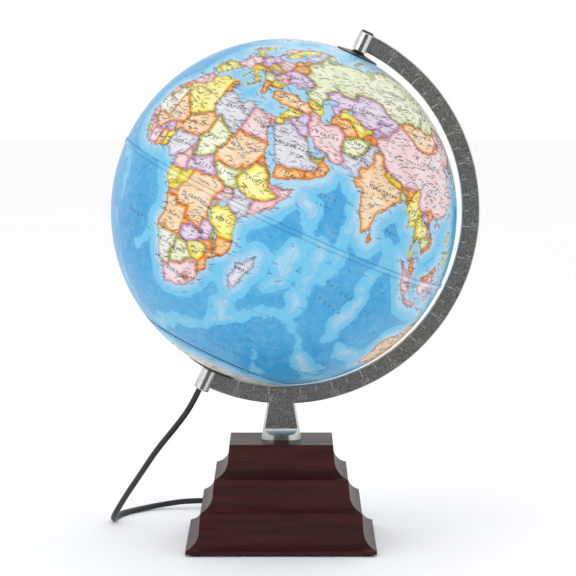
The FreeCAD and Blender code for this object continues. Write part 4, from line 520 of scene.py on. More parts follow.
class Nodes:
    """A material being put together. Inputs may be numbers, colours or other nodes' outputs."""

    def __init__(self, name):
        self.material = bpy.data.materials.new(name)
        self.material.use_nodes = True
        self.tree = self.material.node_tree
        self.shader = self.tree.nodes["Principled BSDF"]

    def add(self, kind, output=0, inputs=(), **settings):
        node = self.tree.nodes.new("ShaderNode" + kind)
        for key, value in settings.items():
            setattr(node, key, value)
        for key, value in dict(inputs).items():
            self.put(node.inputs[key], value)
        return node.outputs[output]

    def put(self, socket, value):
        if isinstance(value, bpy.types.NodeSocket):
            self.tree.links.new(value, socket)
        elif isinstance(value, tuple) and len(value) == 3 and socket.type == "RGBA":
            socket.default_value = (*value, 1)
        else:
            socket.default_value = value

    def finish(self, **inputs):
        for key, value in inputs.items():
            self.put(self.shader.inputs[key.replace("_", " ").title().replace("Ior", "IOR")], value)
        return self.material

    def math(self, operation, a, b=0.0, c=0.0):
        return self.add("Math", inputs={0: a, 1: b, 2: c}, operation=operation)

    def mix(self, factor, a, b, blend="MIX"):
        return self.add("MixRGB", inputs={0: factor, 1: a, 2: b}, blend_type=blend)

    def ramp(self, value, low, high, to_low=0.0, to_high=1.0, smooth=True):
        return self.add("MapRange", inputs={0: value, 1: low, 2: high, 3: to_low, 4: to_high},
                        interpolation_type="SMOOTHSTEP" if smooth else "LINEAR")

    def attribute(self, name, output="Fac"):
        return self.add("Attribute", output, attribute_name=name)

    def place(self):
        return self.add("TexCoord", "Object")

    def stretched(self, scale, rotation=(0, 0, 0)):
        return self.add("Mapping", inputs={0: self.place(), 2: rotation, 3: scale})

    def noise(self, scale, detail=4.0, roughness=0.5, at=None, distortion=0.0):
        return self.add("TexNoise", "Fac", {
            "Vector": at or self.place(), "Scale": scale, "Detail": detail,
            "Roughness": roughness, "Distortion": distortion})

    def bump(self, height, strength, distance):
        return self.add("Bump", inputs={
            "Height": height, "Strength": strength, "Distance": distance})


SEA_DEEP = (0.024, 0.300, 0.600)
SEA_MIDDLE = (0.130, 0.495, 0.735)
SEA_SHALLOW = (0.285, 0.510, 0.700)
SEA_SHELF = (0.370, 0.600, 0.760)
SHORE_INK = (0.16, 0.33, 0.48)
BORDER_INK = (0.23, 0.11, 0.05)
RELIEF_SHADE = (0.45, 0.40, 0.36)
GRID_INK = (0.18, 0.28, 0.38)
# painted shade: the colour that darkens the equator ridge's two edges, where it steps down to the shells
SEAM_PAINTED_SHADE = (0.040, 0.200, 0.380)
GRID_MERIDIANS = 24.0       # all round, and parallels at the same spacing
GRID_WIDTH = 0.0055         # half a grid line, as a share of the spacing


def map_material():
    """The printed map, with painted shade along the equator ridge's edges. It reads the layers that
    print_layers() writes, distances in mm.
    """
    m = Nodes("map_print_and_seam_shade")
    edge = m.math("ADD", m.attribute("edge_mm"), m.ramp(m.noise(420), 0.3, 0.7, -0.25, 0.25))
    inner = m.mix(m.ramp(m.noise(60), 0.35, 0.7), m.attribute("tint", "Color"), (1, 1, 1))
    inner = m.mix(0.25, m.attribute("tint", "Color"), inner)
    land = m.mix(m.ramp(edge, 0.8, 3.2), m.attribute("band", "Color"), inner)
    land = m.mix(m.ramp(m.attribute("edge_mm"), 0.15, 0.70, 0.62, 0.0), land, BORDER_INK)
    relief = m.ramp(m.noise(150, 8, 0.65), 0.35, 0.75, 0.0, 0.16)
    land = m.mix(relief, land, RELIEF_SHADE, "MULTIPLY")

    rough = m.ramp(m.noise(28, 6, 0.6, distortion=0.6), 0.25, 0.75, -1.0, 1.0, smooth=False)
    fine = m.ramp(m.noise(120, 6, 0.6), 0.25, 0.75, -1.0, 1.0, smooth=False)
    wobble = m.math("ADD", m.math("MULTIPLY", rough, 4.0), m.math("MULTIPLY", fine, 1.2))
    off_coast = m.math("ADD", m.attribute("coast_mm"), wobble)
    broken = m.ramp(m.noise(11, 3, 0.5), 0.42, 0.62, 0.0, 7.0)
    jagged = m.math("ADD", m.math("MULTIPLY", rough, 6.5), m.math("MULTIPLY", fine, 2.6))
    off_ridge = m.math("ADD", m.math("ADD", m.attribute("ridge_mm"), jagged), broken)
    depth = m.math("MINIMUM", off_coast, m.math("ADD", off_ridge, 3.4))
    sea = m.mix(m.ramp(depth, 11.0, 13.0), SEA_MIDDLE, SEA_DEEP)
    sea = m.mix(m.ramp(depth, 6.0, 6.8, 1.0, 0.0), sea, SEA_SHALLOW)
    sea = m.mix(m.ramp(depth, 3.2, 3.8, 1.0, 0.0), sea, SEA_SHELF)
    sea = m.mix(m.ramp(m.noise(16, 3), 0.3, 0.7, 0.0, 0.30), sea, SEA_MIDDLE)
    sea = m.mix(m.ramp(fine, -0.2, 0.9, 0.0, 0.18), sea, SEA_SHELF)
    threads = m.noise(75, 7, 0.72, distortion=1.6)
    thread = m.ramp(m.math("ABSOLUTE", m.math("SUBTRACT", threads, 0.5)), 0.004, 0.014, 0.30, 0.0)
    sea = m.mix(thread, sea, SEA_SHELF)
    shore = m.ramp(m.attribute("coast_mm"), 0.1, 0.7, 0.55, 0.0)
    sea = m.mix(shore, sea, SHORE_INK)

    printed = m.mix(m.attribute("land"), sea, land)
    lines = []
    for axis in ("X", "Y"):
        value = m.add("SeparateXYZ", axis, {0: m.add("UVMap", uv_map="lon_lat")})
        cells = m.math("ADD", m.math("MULTIPLY", value, GRID_MERIDIANS), GRID_MERIDIANS / 2)
        off_line = m.math("PINGPONG", cells, 0.5)
        lines.append(m.ramp(off_line, GRID_WIDTH, GRID_WIDTH * 2.2, 1.0, 0.0))
    printed = m.mix(m.math("MULTIPLY", m.math("MAXIMUM", *lines), 0.34), printed, GRID_INK)
    # painted shade on the equator ridge's side walls and shoulders, darkening its two edges
    printed = m.mix(m.attribute("seam"), printed, SEAM_PAINTED_SHADE)
    m.finish(base_color=printed, roughness=m.ramp(m.noise(900), 0.3, 0.7, 0.30, 0.36),
             coat_weight=0.12, coat_roughness=0.25, specular_ior_level=0.3,
             normal=m.bump(m.noise(1400, 3), 0.05, 0.00005))
    return m.material


def inside_material():
    m = Nodes("ball_inside")
    grain = m.noise(600)
    m.finish(base_color=m.mix(grain, (0.80, 0.80, 0.78), (0.86, 0.86, 0.84)), roughness=0.5,
             normal=m.bump(grain, 0.1, 0.0001))
    return m.material


MAP = map_material()
BALL_INSIDE = inside_material()


def plastic_material(name, colour, gloss, grain_scale=900.0, depth=0.00004):
    """Moulded plastic or rubber: a fine moulded grain, a little uneven in shade and gloss."""
    m = Nodes(name)
    wear = m.ramp(m.noise(45, 5, 0.6), 0.35, 0.75)
    worn = tuple(min(c * 1.7 + 0.004, 1.0) for c in colour)
    scuffs = m.ramp(m.noise(220, 7, 0.7, m.stretched((1, 3, 8))), 0.62, 0.74)
    shade = m.mix(m.math("MULTIPLY", wear, 0.7), colour, worn)
    shade = m.mix(m.math("MULTIPLY", scuffs, 0.25), shade, (0.09, 0.09, 0.09))
    m.finish(base_color=shade, roughness=m.ramp(wear, 0.0, 1.0, gloss, gloss + 0.12),
             normal=m.bump(m.noise(grain_scale, 3), 0.25, depth))
    return m.material


def metal_material(name, colour, gloss, brushed=(1, 1, 30)):
    """Machined or plated metal, with fine turning lines and a few duller patches."""
    m = Nodes(name)
    lines = m.noise(260, 5, 0.7, m.stretched(brushed))
    dull = m.ramp(m.noise(60, 4, 0.6), 0.45, 0.75)
    dark = tuple(c * 0.72 for c in colour)
    m.finish(base_color=m.mix(m.math("MULTIPLY", dull, 0.6), colour, dark), metallic=1.0,
             roughness=m.math("ADD", m.ramp(lines, 0.3, 0.7, gloss, gloss + 0.10),
                              m.math("MULTIPLY", dull, 0.08)),
             normal=m.bump(lines, 0.12, 0.00003))
    return m.material


def arm_material():
    """The casting: mottled dark pewter on its flat front and back, polished everywhere else."""
    m = Nodes("arm_casting")
    facing = m.add("SeparateXYZ", "Y", {0: m.add("NewGeometry", "Normal")})
    flat = m.ramp(m.math("ABSOLUTE", facing), 0.955, 0.985)
    far = m.math("ABSOLUTE", m.add("SeparateXYZ", "Y", {0: m.place()}))
    flat = m.math("MULTIPLY", flat, m.ramp(far, 0.0040, 0.0043))
    fine = m.noise(620, 7, 0.80)
    broad = m.noise(120, 5, 0.6)
    paint = m.mix(m.ramp(fine, 0.35, 0.68), (0.045, 0.046, 0.042), (0.230, 0.232, 0.215))
    paint = m.mix(m.ramp(broad, 0.40, 0.75, 0.0, 0.45), paint, (0.120, 0.120, 0.112))
    bright = m.mix(m.ramp(m.noise(90, 4, 0.6), 0.4, 0.75), (0.66, 0.66, 0.65), (0.44, 0.44, 0.43))
    rough = m.mix(flat, m.ramp(m.noise(300, 5, 0.6), 0.3, 0.7, 0.28, 0.40),
                  m.ramp(fine, 0.3, 0.7, 0.40, 0.55))
    m.finish(base_color=m.mix(flat, bright, paint), metallic=m.ramp(flat, 0.0, 1.0, 1.0, 0.75),
             roughness=rough, normal=m.bump(m.math("MULTIPLY", fine, flat), 0.35, 0.00010))
    return m.material


def wood_material():
    """Dark mahogany with a grain along X, stained and lacquered, its pores darker than the rest."""
    m = Nodes("mahogany")
    bend = m.noise(7, 4, 0.55, m.stretched((0.6, 2.0, 2.0)))
    rings = m.noise(34, 5, 0.65, m.stretched((0.18, 3.2, 3.2)), distortion=0.5)
    pores = m.noise(300, 4, 0.6, m.stretched((0.05, 1.6, 1.6)))
    shade = m.mix(m.ramp(rings, 0.30, 0.72), (0.0230, 0.0045, 0.0042), (0.0520, 0.0095, 0.0075))
    shade = m.mix(m.ramp(bend, 0.35, 0.70, 0.0, 0.55), shade, (0.0340, 0.0080, 0.0072))
    shade = m.mix(m.ramp(pores, 0.56, 0.70, 0.0, 0.65), shade, (0.0080, 0.0030, 0.0030))
    m.finish(base_color=shade, roughness=m.ramp(pores, 0.4, 0.7, 0.38, 0.52),
             coat_weight=0.06, coat_roughness=0.20, specular_ior_level=0.12,
             normal=m.bump(m.math("ADD", m.math("MULTIPLY", pores, 0.6), rings), 0.16, 0.00018))
    return m.material


def glass_material():
    """A frosted bulb, thin and white inside."""
    m = Nodes("bulb_frost")
    m.finish(base_color=m.mix(m.noise(500), (0.90, 0.90, 0.87), (0.96, 0.96, 0.94)),
             roughness=m.ramp(m.noise(700), 0.3, 0.7, 0.35, 0.5), transmission_weight=0.55, ior=1.5,
             normal=m.bump(m.noise(1500, 2), 0.1, 0.00003))
    return m.material


BLACK = plastic_material("black_moulding", (0.0085, 0.0085, 0.0090), 0.30)
CORD = plastic_material("cord_sheath", (0.0075, 0.0075, 0.0080), 0.38, 1500.0, 0.00003)
RUBBER = plastic_material("rubber", (0.0140, 0.0140, 0.0145), 0.62, 700.0, 0.00008)
BAKELITE = plastic_material("holder_moulding", (0.0120, 0.0105, 0.0100), 0.24)
STEEL = metal_material("plated_steel", (0.58, 0.58, 0.57), 0.26)
BRASS = metal_material("brass", (0.80, 0.58, 0.24), 0.22)
LAMP_METAL = metal_material("lamp_cap_nickel", (0.66, 0.64, 0.60), 0.24, (1, 1, 12))
ARM_METAL = arm_material()
MAHOGANY = wood_material()
FROST = glass_material()

FINISHES = {
    "meridian_arm": ARM_METAL,
    "base_bottom_tier": MAHOGANY, "base_middle_tier": MAHOGANY, "base_top_tier": MAHOGANY,
    "north_hub": BLACK, "south_flange": BLACK, "north_pin_cap": BLACK, "south_washer": BLACK,
    "coil_tie": BLACK, "switch_lower_shell": BLACK, "switch_upper_shell": BLACK,
    "switch_rocker": BAKELITE, "plug_body": BLACK, "cord_grommet": RUBBER, "rubber_feet": RUBBER,
    "inner_lead": CORD, "holder_nut": BAKELITE, "holder_cap": BAKELITE, "lampholder": BAKELITE,
    "north_hub_clip": STEEL, "lower_tier_screws": STEEL, "upper_tier_screws": STEEL,
    "clamp_bolt": STEEL, "clamp_washer": STEEL, "north_pin": STEEL, "lamp_tube": STEEL,
    "switch_screws": STEEL, "socket_sleeve": BRASS, "centre_contact": BRASS, "plug_blades": BRASS,
    "bulb_cap": LAMP_METAL, "bulb_glass": FROST,
}


def finish_cad_nodes():
    for node, material in FINISHES.items():
        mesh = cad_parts[node].data
        mesh.materials.clear()
        mesh.materials.append(material)


# ---- the ball ----

MAP_STEP = 1.0              # degrees between the ball's own mesh points
COAST_STEP = 0.7            # degrees, the shortest stretch of a roughened outline
COAST_ROUGHNESS = 0.13
BORDER_ROUGHNESS = 0.035
SEAM_HALF = 0.6 * MM        # from the equator's plane to the edge of each shell
NORTH_HOLE_RADIUS = 5 * MM
SOUTH_HOLE_RADIUS = 19 * MM
SEAM_LATITUDE = math.degrees(math.asin(SEAM_HALF / BALL_RADIUS))
NORTH_HOLE_LATITUDE = 90 - math.degrees(math.asin(NORTH_HOLE_RADIUS / BALL_RADIUS))
SOUTH_HOLE_LATITUDE = math.degrees(math.asin(SOUTH_HOLE_RADIUS / BALL_RADIUS)) - 90
SEAM_POINTS, HOLE_POINTS = 480, 96
OCEAN, LAKE, UNNAMED = -1, -2, 0        # labels; any other is a country's place in the list
LINE_ROUGHNESS = 0.2        # of rivers and sea ridges


def degrees(text):
    """The pairs of numbers in a text."""
    return [tuple(float(v) for v in pair.split()) for pair in text.split(",")]


def roughened(a, b, amount):
    """Points from a up to but not including b, moved off the straight line by halving it."""
    if b < a:
        way = roughened(b, a, amount)
        return [a] + way[:0:-1]
    length = math.dist(a, b)
    on_frame = abs(a[0]) == abs(b[0]) == 180 or a[1] == b[1] == -90
    if length < COAST_STEP or on_frame:
        return [a]
    swing = random.Random(f"{a[0]:.3f} {a[1]:.3f} {b[0]:.3f} {b[1]:.3f}").uniform(-amount, amount)
    middle = ((a[0] + b[0]) / 2 - swing * (b[1] - a[1]), (a[1] + b[1]) / 2 + swing * (b[0] - a[0]))
    return roughened(a, middle, amount) + roughened(middle, b, amount)


def ring_of(text, amount):
    """A closed outline, roughened."""
    corners = degrees(text)
    points = []
    for a, b in zip(corners, corners[1:] + corners[:1]):
        points += roughened(a, b, amount)
    return points


def line_of(text, amount):
    """An open line, roughened."""
    corners = degrees(text)
    points = []
    for a, b in zip(corners, corners[1:]):
        points += roughened(a, b, amount)
    return points + [corners[-1]]


def inside(ring, points):
    """Which of the points (an array of longitude, latitude) lie in the ring."""
    corners = np.array(ring)
    low, high = corners.min(0), corners.max(0)
    near = np.nonzero(((points >= low) & (points <= high)).all(1))[0]
    x, y = points[near].T
    odd = np.zeros(len(near), bool)
    for (ax, ay), (bx, by) in zip(corners, np.roll(corners, -1, axis=0)):
        if ay != by:
            crosses = (ay > y) != (by > y)
            odd ^= crosses & (x < ax + (y - ay) * (bx - ax) / (by - ay))
    found = np.zeros(len(points), bool)
    found[near[odd]] = True
    return found


def on_ball(lon_lat, radius):
    """Points on the ball, in the row frame, from an array of longitude, latitude in degrees."""
    lon = np.radians(lon_lat[:, 0] - CENTRE_LONGITUDE)
    lat = np.radians(lon_lat[:, 1])
    level = np.cos(lat)
    local = np.stack([level * np.sin(lon), -level * np.cos(lon), np.sin(lat)], 1) * radius
    return local @ np.array(ON_AXIS.to_3x3()).T + np.array(BALL_CENTRE)


LAND_RINGS = [ring_of(text, COAST_ROUGHNESS) for text in LAND.values()]
LAKE_RINGS = [ring_of(text, COAST_ROUGHNESS) for text in LAKES.values()]
COUNTRY_RINGS = [ring_of(text, BORDER_ROUGHNESS) for tint, text in COUNTRIES]


def labels_at(points):
    """The country's place in the list at each point, or OCEAN or LAKE."""
    labels = np.full(len(points), OCEAN)
    for ring in LAND_RINGS:
        labels[inside(ring, points)] = UNNAMED
    on_land = labels == UNNAMED
    for number, ring in enumerate(COUNTRY_RINGS):
        labels[on_land & inside(ring, points)] = number
    for ring in LAKE_RINGS:
        labels[inside(ring, points)] = LAKE
    return labels


def map_plan(low, high, low_count, high_count):
    """Flat triangles in longitude and latitude between two parallels, cut along every outline."""
    rows = []
    steps = round((high - low) / MAP_STEP)
    for k in range(steps + 1):
        lat = low + (high - low) * k / steps
        count = math.ceil(360 * math.cos(math.radians(lat)) / MAP_STEP)
        count = {0: low_count, steps: high_count}.get(k, max(count, HOLE_POINTS))
        rows.append([(-180 + 360 * i / count, lat) for i in range(count + 1)])
    points, edges = [], []
    starts = []
    for row in rows:
        starts.append(len(points))
        points += row
    for k in (0, steps):
        edges += [(starts[k] + i, starts[k] + i + 1) for i in range(len(rows[k]) - 1)]
    for k in range(steps):
        edges.append((starts[k], starts[k + 1]))
        edges.append((starts[k] + len(rows[k]) - 1, starts[k + 1] + len(rows[k + 1]) - 1))
    for ring in LAND_RINGS + LAKE_RINGS + COUNTRY_RINGS:
        lats = [lat for lon, lat in ring]
        if max(lats) > low - 1 and min(lats) < high + 1:
            first = len(points)
            points += ring
            edges += [(first + i, first + (i + 1) % len(ring)) for i in range(len(ring))]
    flat, _, faces, *_ = delaunay_2d_cdt([Vector(p) for p in points], edges, [], 0, 1e-5, False)
    flat = np.array([tuple(p) for p in flat])
    faces = np.array(faces)
    middle = flat[faces].mean(1)
    kept = (middle[:, 1] > low) & (middle[:, 1] < high) & (np.abs(middle[:, 0]) < 180)
    return flat, faces[kept], labels_at(middle[kept])


def border_samples(flat, faces, labels):
    """Points along the edges where two labels meet, and along those where land meets water."""
    sides = np.sort(np.concatenate([faces[:, [0, 1]], faces[:, [1, 2]], faces[:, [2, 0]]]), axis=1)
    owner = np.tile(np.arange(len(faces)), 3)
    order = np.lexsort((sides[:, 1], sides[:, 0]))
    sides, owner = sides[order], owner[order]
    twin = np.nonzero((sides[1:] == sides[:-1]).all(1))[0]
    a, b = labels[owner[twin]], labels[owner[twin + 1]]
    found = []
    for chosen in (a != b, (a < 0) != (b < 0)):
        ends = flat[sides[twin[chosen]]]
        found.append(np.concatenate([ends[:, 0], ends.mean(1), ends[:, 1]]))
    return found


def nearest(samples):
    """A function that gives the distance from a point on the ball to the nearest of the samples."""
    tree = kdtree.KDTree(len(samples))
    for i, p in enumerate(samples):
        tree.insert(p, i)
    tree.balance()
    return lambda p: tree.find(p)[2]


TINTS = {                   # inside of the country, and the band along its border
    "yellow": ((0.840, 0.760, 0.200), (0.740, 0.600, 0.012)),
    "peach": ((0.820, 0.580, 0.340), (0.780, 0.250, 0.006)),
    "orange": ((0.840, 0.500, 0.170), (0.780, 0.200, 0.004)),
    "pink": ((0.780, 0.580, 0.590), (0.720, 0.300, 0.340)),
    "green": ((0.730, 0.760, 0.520), (0.430, 0.430, 0.070)),
    "lilac": ((0.680, 0.560, 0.710), (0.520, 0.290, 0.540)),
    "grey": ((0.620, 0.620, 0.680), (0.440, 0.420, 0.520)),
    "cream": ((0.760, 0.760, 0.670), (0.560, 0.560, 0.390)),
    "water": ((0.300, 0.600, 0.830), (0.300, 0.600, 0.830)),
}


def print_layers(mesh, labels, sides, lon_lat, points, distances):
    """The map's layers on a mesh whose faces all have so many sides."""
    names = [tint for tint, text in COUNTRIES]
    chosen = ["water" if label < 0 else names[label] for label in labels]
    for layer, part in (("tint", 0), ("band", 1)):
        colours = np.array([(*TINTS[tint][part], 1) for tint in chosen]).repeat(sides, axis=0)
        mesh.color_attributes.new(layer, "FLOAT_COLOR", "CORNER").data.foreach_set(
            "color", colours.ravel())
    land = (labels >= 0).astype(float).repeat(sides)
    mesh.attributes.new("land", "FLOAT", "CORNER").data.foreach_set("value", land)
    mesh.uv_layers.new(name="lon_lat").uv.foreach_set(
        "vector", (lon_lat.reshape(-1, 2) / 360 + 0.5).ravel())
    for layer, distance in zip(("edge_mm", "coast_mm", "ridge_mm"), distances):
        values = [distance(p) / MM for p in points]
        mesh.attributes.new(layer, "FLOAT", "POINT").data.foreach_set("value", values)


def map_shell(name, node, plan, distances):
    """One half of the ball: its points merged where the flat plan's edges meet."""
    flat, faces, labels = plan
    points = on_ball(flat, BALL_RADIUS)
    keys = {}
    merged = np.empty(len(flat), int)
    for i in np.unique(faces):
        merged[i] = keys.setdefault(tuple(np.round(points[i], 7)), len(keys))
    positions = np.empty((len(keys), 3))
    positions[merged[np.unique(faces)]] = points[np.unique(faces)]
    solid = merged[faces]
    a, b, c = solid.T
    whole = (a != b) & (b != c) & (c != a)
    faces, solid, labels = faces[whole], solid[whole], labels[whole]
    mesh = bpy.data.meshes.new(name)
    mesh.from_pydata(positions.tolist(), [], solid.tolist())
    mesh.shade_smooth()
    print_layers(mesh, labels, 3, flat[faces], positions, distances)
    shell = placed(name, mesh)
    mesh.materials.append(MAP)
    mesh.materials.append(BALL_INSIDE)
    wall = shell.modifiers.new("wall", "SOLIDIFY")
    wall.thickness = BALL_WALL
    wall.offset = -1
    wall.material_offset = 1
    wall.material_offset_rim = 1
    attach(shell, "globe")
    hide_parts(node)


RIDGE_SECTION = [           # height from the equator's plane and radius beyond the ball's, in mm
    (0.6, 0.0), (2.0, 0.0), (2.0, 0.45), (1.75, 0.80), (1.35, 0.90), (0.0, 0.92), (-1.35, 0.90),
    (-1.75, 0.80), (-2.0, 0.45), (-2.0, 0.0), (-0.6, 0.0), (-0.6, -2.0), (-6.0, -2.0), (-6.0, -3.4),
    (6.0, -3.4), (6.0, -2.0), (0.6, -2.0)]
RIDGE_STEPS = 720
# how strongly the painted shade darkens the ridge's side walls and shoulders
RIDGE_EDGE_SHADE = 0.55
CLEAR_LATITUDE = 7.5        # between two printed parallels, so that none is printed on the ridge


def equator_ridge(distances):
    """The band that joins the two shells: its raised face carries the map on across the seam."""
    lon = -180 + 360 * np.arange(RIDGE_STEPS) / RIDGE_STEPS
    count = len(RIDGE_SECTION)
    points = np.empty((RIDGE_STEPS, count, 3))
    for k, (height, proud) in enumerate(RIDGE_SECTION):
        radius = BALL_RADIUS + proud * MM
        lat = math.degrees(math.atan2(height * MM, radius))
        around = np.stack([lon, np.full_like(lon, lat)], 1)
        points[:, k] = on_ball(around, math.hypot(radius, height * MM))
    faces, corners, middles = [], [], []
    for i in range(RIDGE_STEPS):
        j = (i + 1) % RIDGE_STEPS
        for k in range(count):
            n = (k + 1) % count
            faces.append((i * count + k, i * count + n, j * count + n, j * count + k))
            corners += [(lon[i], CLEAR_LATITUDE)] * 2
            corners += [(lon[i] + 360 / RIDGE_STEPS, CLEAR_LATITUDE)] * 2
            middles.append((lon[i] + 180 / RIDGE_STEPS, 0.01))
    mesh = bpy.data.meshes.new("equator_ridge")
    mesh.from_pydata(points.reshape(-1, 3).tolist(), [], faces)
    shape = bmesh.new()
    shape.from_mesh(mesh)
    bmesh.ops.recalc_face_normals(shape, faces=shape.faces)
    shape.to_mesh(mesh)
    shape.free()
    print_layers(mesh, labels_at(np.array(middles)), 4, np.array(corners), points.reshape(-1, 3),
                 distances)
    # painted shade: the ridge's side walls and shoulders get a darkening weight, the rest none
    edges = [RIDGE_EDGE_SHADE if 1.7 < abs(height) <= 2.0 else 0.0
             for height, proud in RIDGE_SECTION]
    mesh.attributes.new("seam", "FLOAT", "POINT").data.foreach_set(
        "value", np.tile(edges, RIDGE_STEPS))
    ridge = placed("equator_ridge", mesh)
    mesh.materials.append(MAP)
    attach(ridge, "globe")
    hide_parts("equator_band")


def map_ball():
    plans = [map_plan(SEAM_LATITUDE, NORTH_HOLE_LATITUDE, SEAM_POINTS, HOLE_POINTS),
             map_plan(SOUTH_HOLE_LATITUDE, -SEAM_LATITUDE, HOLE_POINTS, SEAM_POINTS)]
    borders, coasts = zip(*(border_samples(*plan) for plan in plans))
    ridge_points = np.array([p for text in RIDGES for p in line_of(text, LINE_ROUGHNESS)])
    distances = [nearest(on_ball(samples, BALL_RADIUS)) for samples in (
        np.concatenate(borders), np.concatenate(coasts), ridge_points)]
    names = (("map_north", "north_hemisphere"), ("map_south", "south_hemisphere"))
    for (name, node), plan in zip(names, plans):
        map_shell(name, node, plan, distances)
    equator_ridge(distances)


# ---- marks printed on the map: rows of strokes where a map has names, and rivers ----

INK_HEIGHT = 0.06 * MM      # above the ball
SMALL_MARKS = 14400         # places tried; a mark goes on land and near its coast
SEAM_CLEAR = 1.3            # degrees on each side of the equator that stay free of marks
MM_PER_DEGREE = 2.66        # on the ball
NEAR_LAND = (1.8, 0.8)      # degrees from a place at sea to where land is looked for
SMALL_PITCH, SMALL_WIDTH = 0.74, 0.42   # mm
RIVER_HALF_WIDTH = 0.075    # degrees
SEA_ROWS = [                # longitude, latitude, turn, places, height in mm
    (80, -12, -14, 6, 3.0), (80, -18, -14, 5, 3.0), (63, 14, 0, 4, 2.2), (62, 11, 0, 3, 2.2),
    (89, 14, 0, 3, 2.0), (88, 11.5, 0, 5, 2.0), (0, -18, 0, 5, 2.6), (-2, -23, 0, 5, 2.6),
    (60, -52, 0, 9, 2.6), (100, -48, 8, 7, 2.4)]


def add_patch(quads, lon, lat, turn, rectangles):
    """Rectangles (x0, y0, x1, y1 in mm, x along the row) about a place, turned by some degrees."""
    cos, sin = math.cos(math.radians(turn)), math.sin(math.radians(turn))
    flat = math.cos(math.radians(lat)) * BALL_RADIUS / MM
    for x0, y0, x1, y1 in rectangles:
        quad = []
        for x, y in ((x0, y0), (x1, y0), (x1, y1), (x0, y1)):
            east, north = x * cos - y * sin, x * sin + y * cos
            quad.append((lon + math.degrees(east / flat),
                         lat + math.degrees(north * MM / BALL_RADIUS)))
        quads.append(quad)


def row_of_strokes(chance, count, height, pitch):
    """Upright and level strokes in count places, none of them a letter."""
    bars = []
    thick = height * 0.20
    for place in range(count):
        x = (place - count / 2) * pitch
        wide = height * chance.uniform(0.45, 0.62)
        bars.append((x, 0, x + thick, height * chance.choice((0.62, 1.0, 1.0))))
        if chance.random() < 0.8:
            bars.append((x + wide, 0, x + wide + thick, height * chance.choice((0.5, 1.0, 1.0))))
        level = height * chance.choice((0.0, 0.42, 0.84))
        bars.append((x + thick, level, x + wide, level + thick * 0.8))
    return bars


def add_marks(name, quads, colour):
    lon_lat = np.array(quads).reshape(-1, 2)
    points = on_ball(lon_lat, BALL_RADIUS + INK_HEIGHT)
    mesh = bpy.data.meshes.new(name)
    mesh.from_pydata(points.tolist(), [], np.arange(len(points)).reshape(-1, 4).tolist())
    marks = placed(name, mesh)
    m = Nodes(name)
    uneven = m.ramp(m.noise(500, 4), 0.3, 0.7)
    paler = tuple(c * 1.6 + 0.03 for c in colour)
    m.finish(base_color=m.mix(uneven, colour, paler), roughness=0.34, coat_weight=0.3,
             coat_roughness=0.22)
    mesh.materials.append(m.material)
    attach(marks, "globe")


def map_marks():
    chance = random.Random(12)
    names, small, sea = [], [], []
    for (tint, text), ring in zip(COUNTRIES, COUNTRY_RINGS):
        corners = np.array(ring)
        low, high = corners.min(0), corners.max(0)
        lon, lat = corners.mean(0)
        wide = (high[0] - low[0]) * math.cos(math.radians(lat)) * MM_PER_DEGREE
        tall = (high[1] - low[1]) * MM_PER_DEGREE
        if wide < 7 or tall < 4 or abs(lat) < SEAM_CLEAR:
            continue
        if not inside(ring, np.array([(lon, lat)])).any():
            continue
        height = min(max(tall * 0.12, 1.5), 2.7)
        count = int(min(max(wide * 0.62 / (height * 1.25), 3), 9))
        add_patch(names, lon, lat, chance.uniform(-6, 6),
                  row_of_strokes(chance, count, height, height * chance.uniform(1.15, 1.35)))
    spots = np.array([
        (chance.uniform(-180, 180), math.degrees(math.asin(chance.uniform(-0.97, 0.99))))
        for k in range(SMALL_MARKS)])
    on_land = labels_at(spots) >= 0
    near_land = (labels_at(spots + NEAR_LAND) >= 0) | (labels_at(spots - NEAR_LAND) >= 0)
    for (lon, lat), land, near in zip(spots, on_land, near_land):
        if abs(lat) < SEAM_CLEAR:
            continue
        bars = []
        for place in range(chance.randint(3, 8)):
            x = place * SMALL_PITCH
            bars.append((x, 0, x + SMALL_WIDTH, chance.choice((0.6, 0.95, 0.95))))
        if land:
            town = (-1.0, 0.1, -0.6, 0.5)
            add_patch(small, lon, lat, chance.choice((0, 0, 8, 25, -20, 40)), bars + [town])
        elif near or chance.random() < 0.04:
            add_patch(sea, lon, lat, chance.choice((0, 10, 35, -30)), bars)
    for lon, lat, turn, count, height in SEA_ROWS:
        add_patch(sea, lon, lat, turn, row_of_strokes(chance, count, height, height * 1.9))
    water = []
    for text in RIVERS:
        way = line_of(text, LINE_ROUGHNESS)
        for (ax, ay), (bx, by) in zip(way, way[1:]):
            if abs(ay) > SEAM_CLEAR and abs(by) > SEAM_CLEAR:
                across = Vector((ay - by, bx - ax)).normalized() * RIVER_HALF_WIDTH
                water.append([(ax - across.x, ay - across.y), (bx - across.x, by - across.y),
                              (bx + across.x, by + across.y), (ax + across.x, ay + across.y)])
    add_marks("map_names", names, (0.018, 0.014, 0.014))
    add_marks("map_small_marks", small, (0.040, 0.030, 0.030))
    add_marks("map_sea_marks", sea, (0.020, 0.060, 0.130))
    add_marks("map_rivers", water, (0.120, 0.380, 0.620))


# ---- the scale on the arm's front: ticks every five degrees, numerals every ten ----

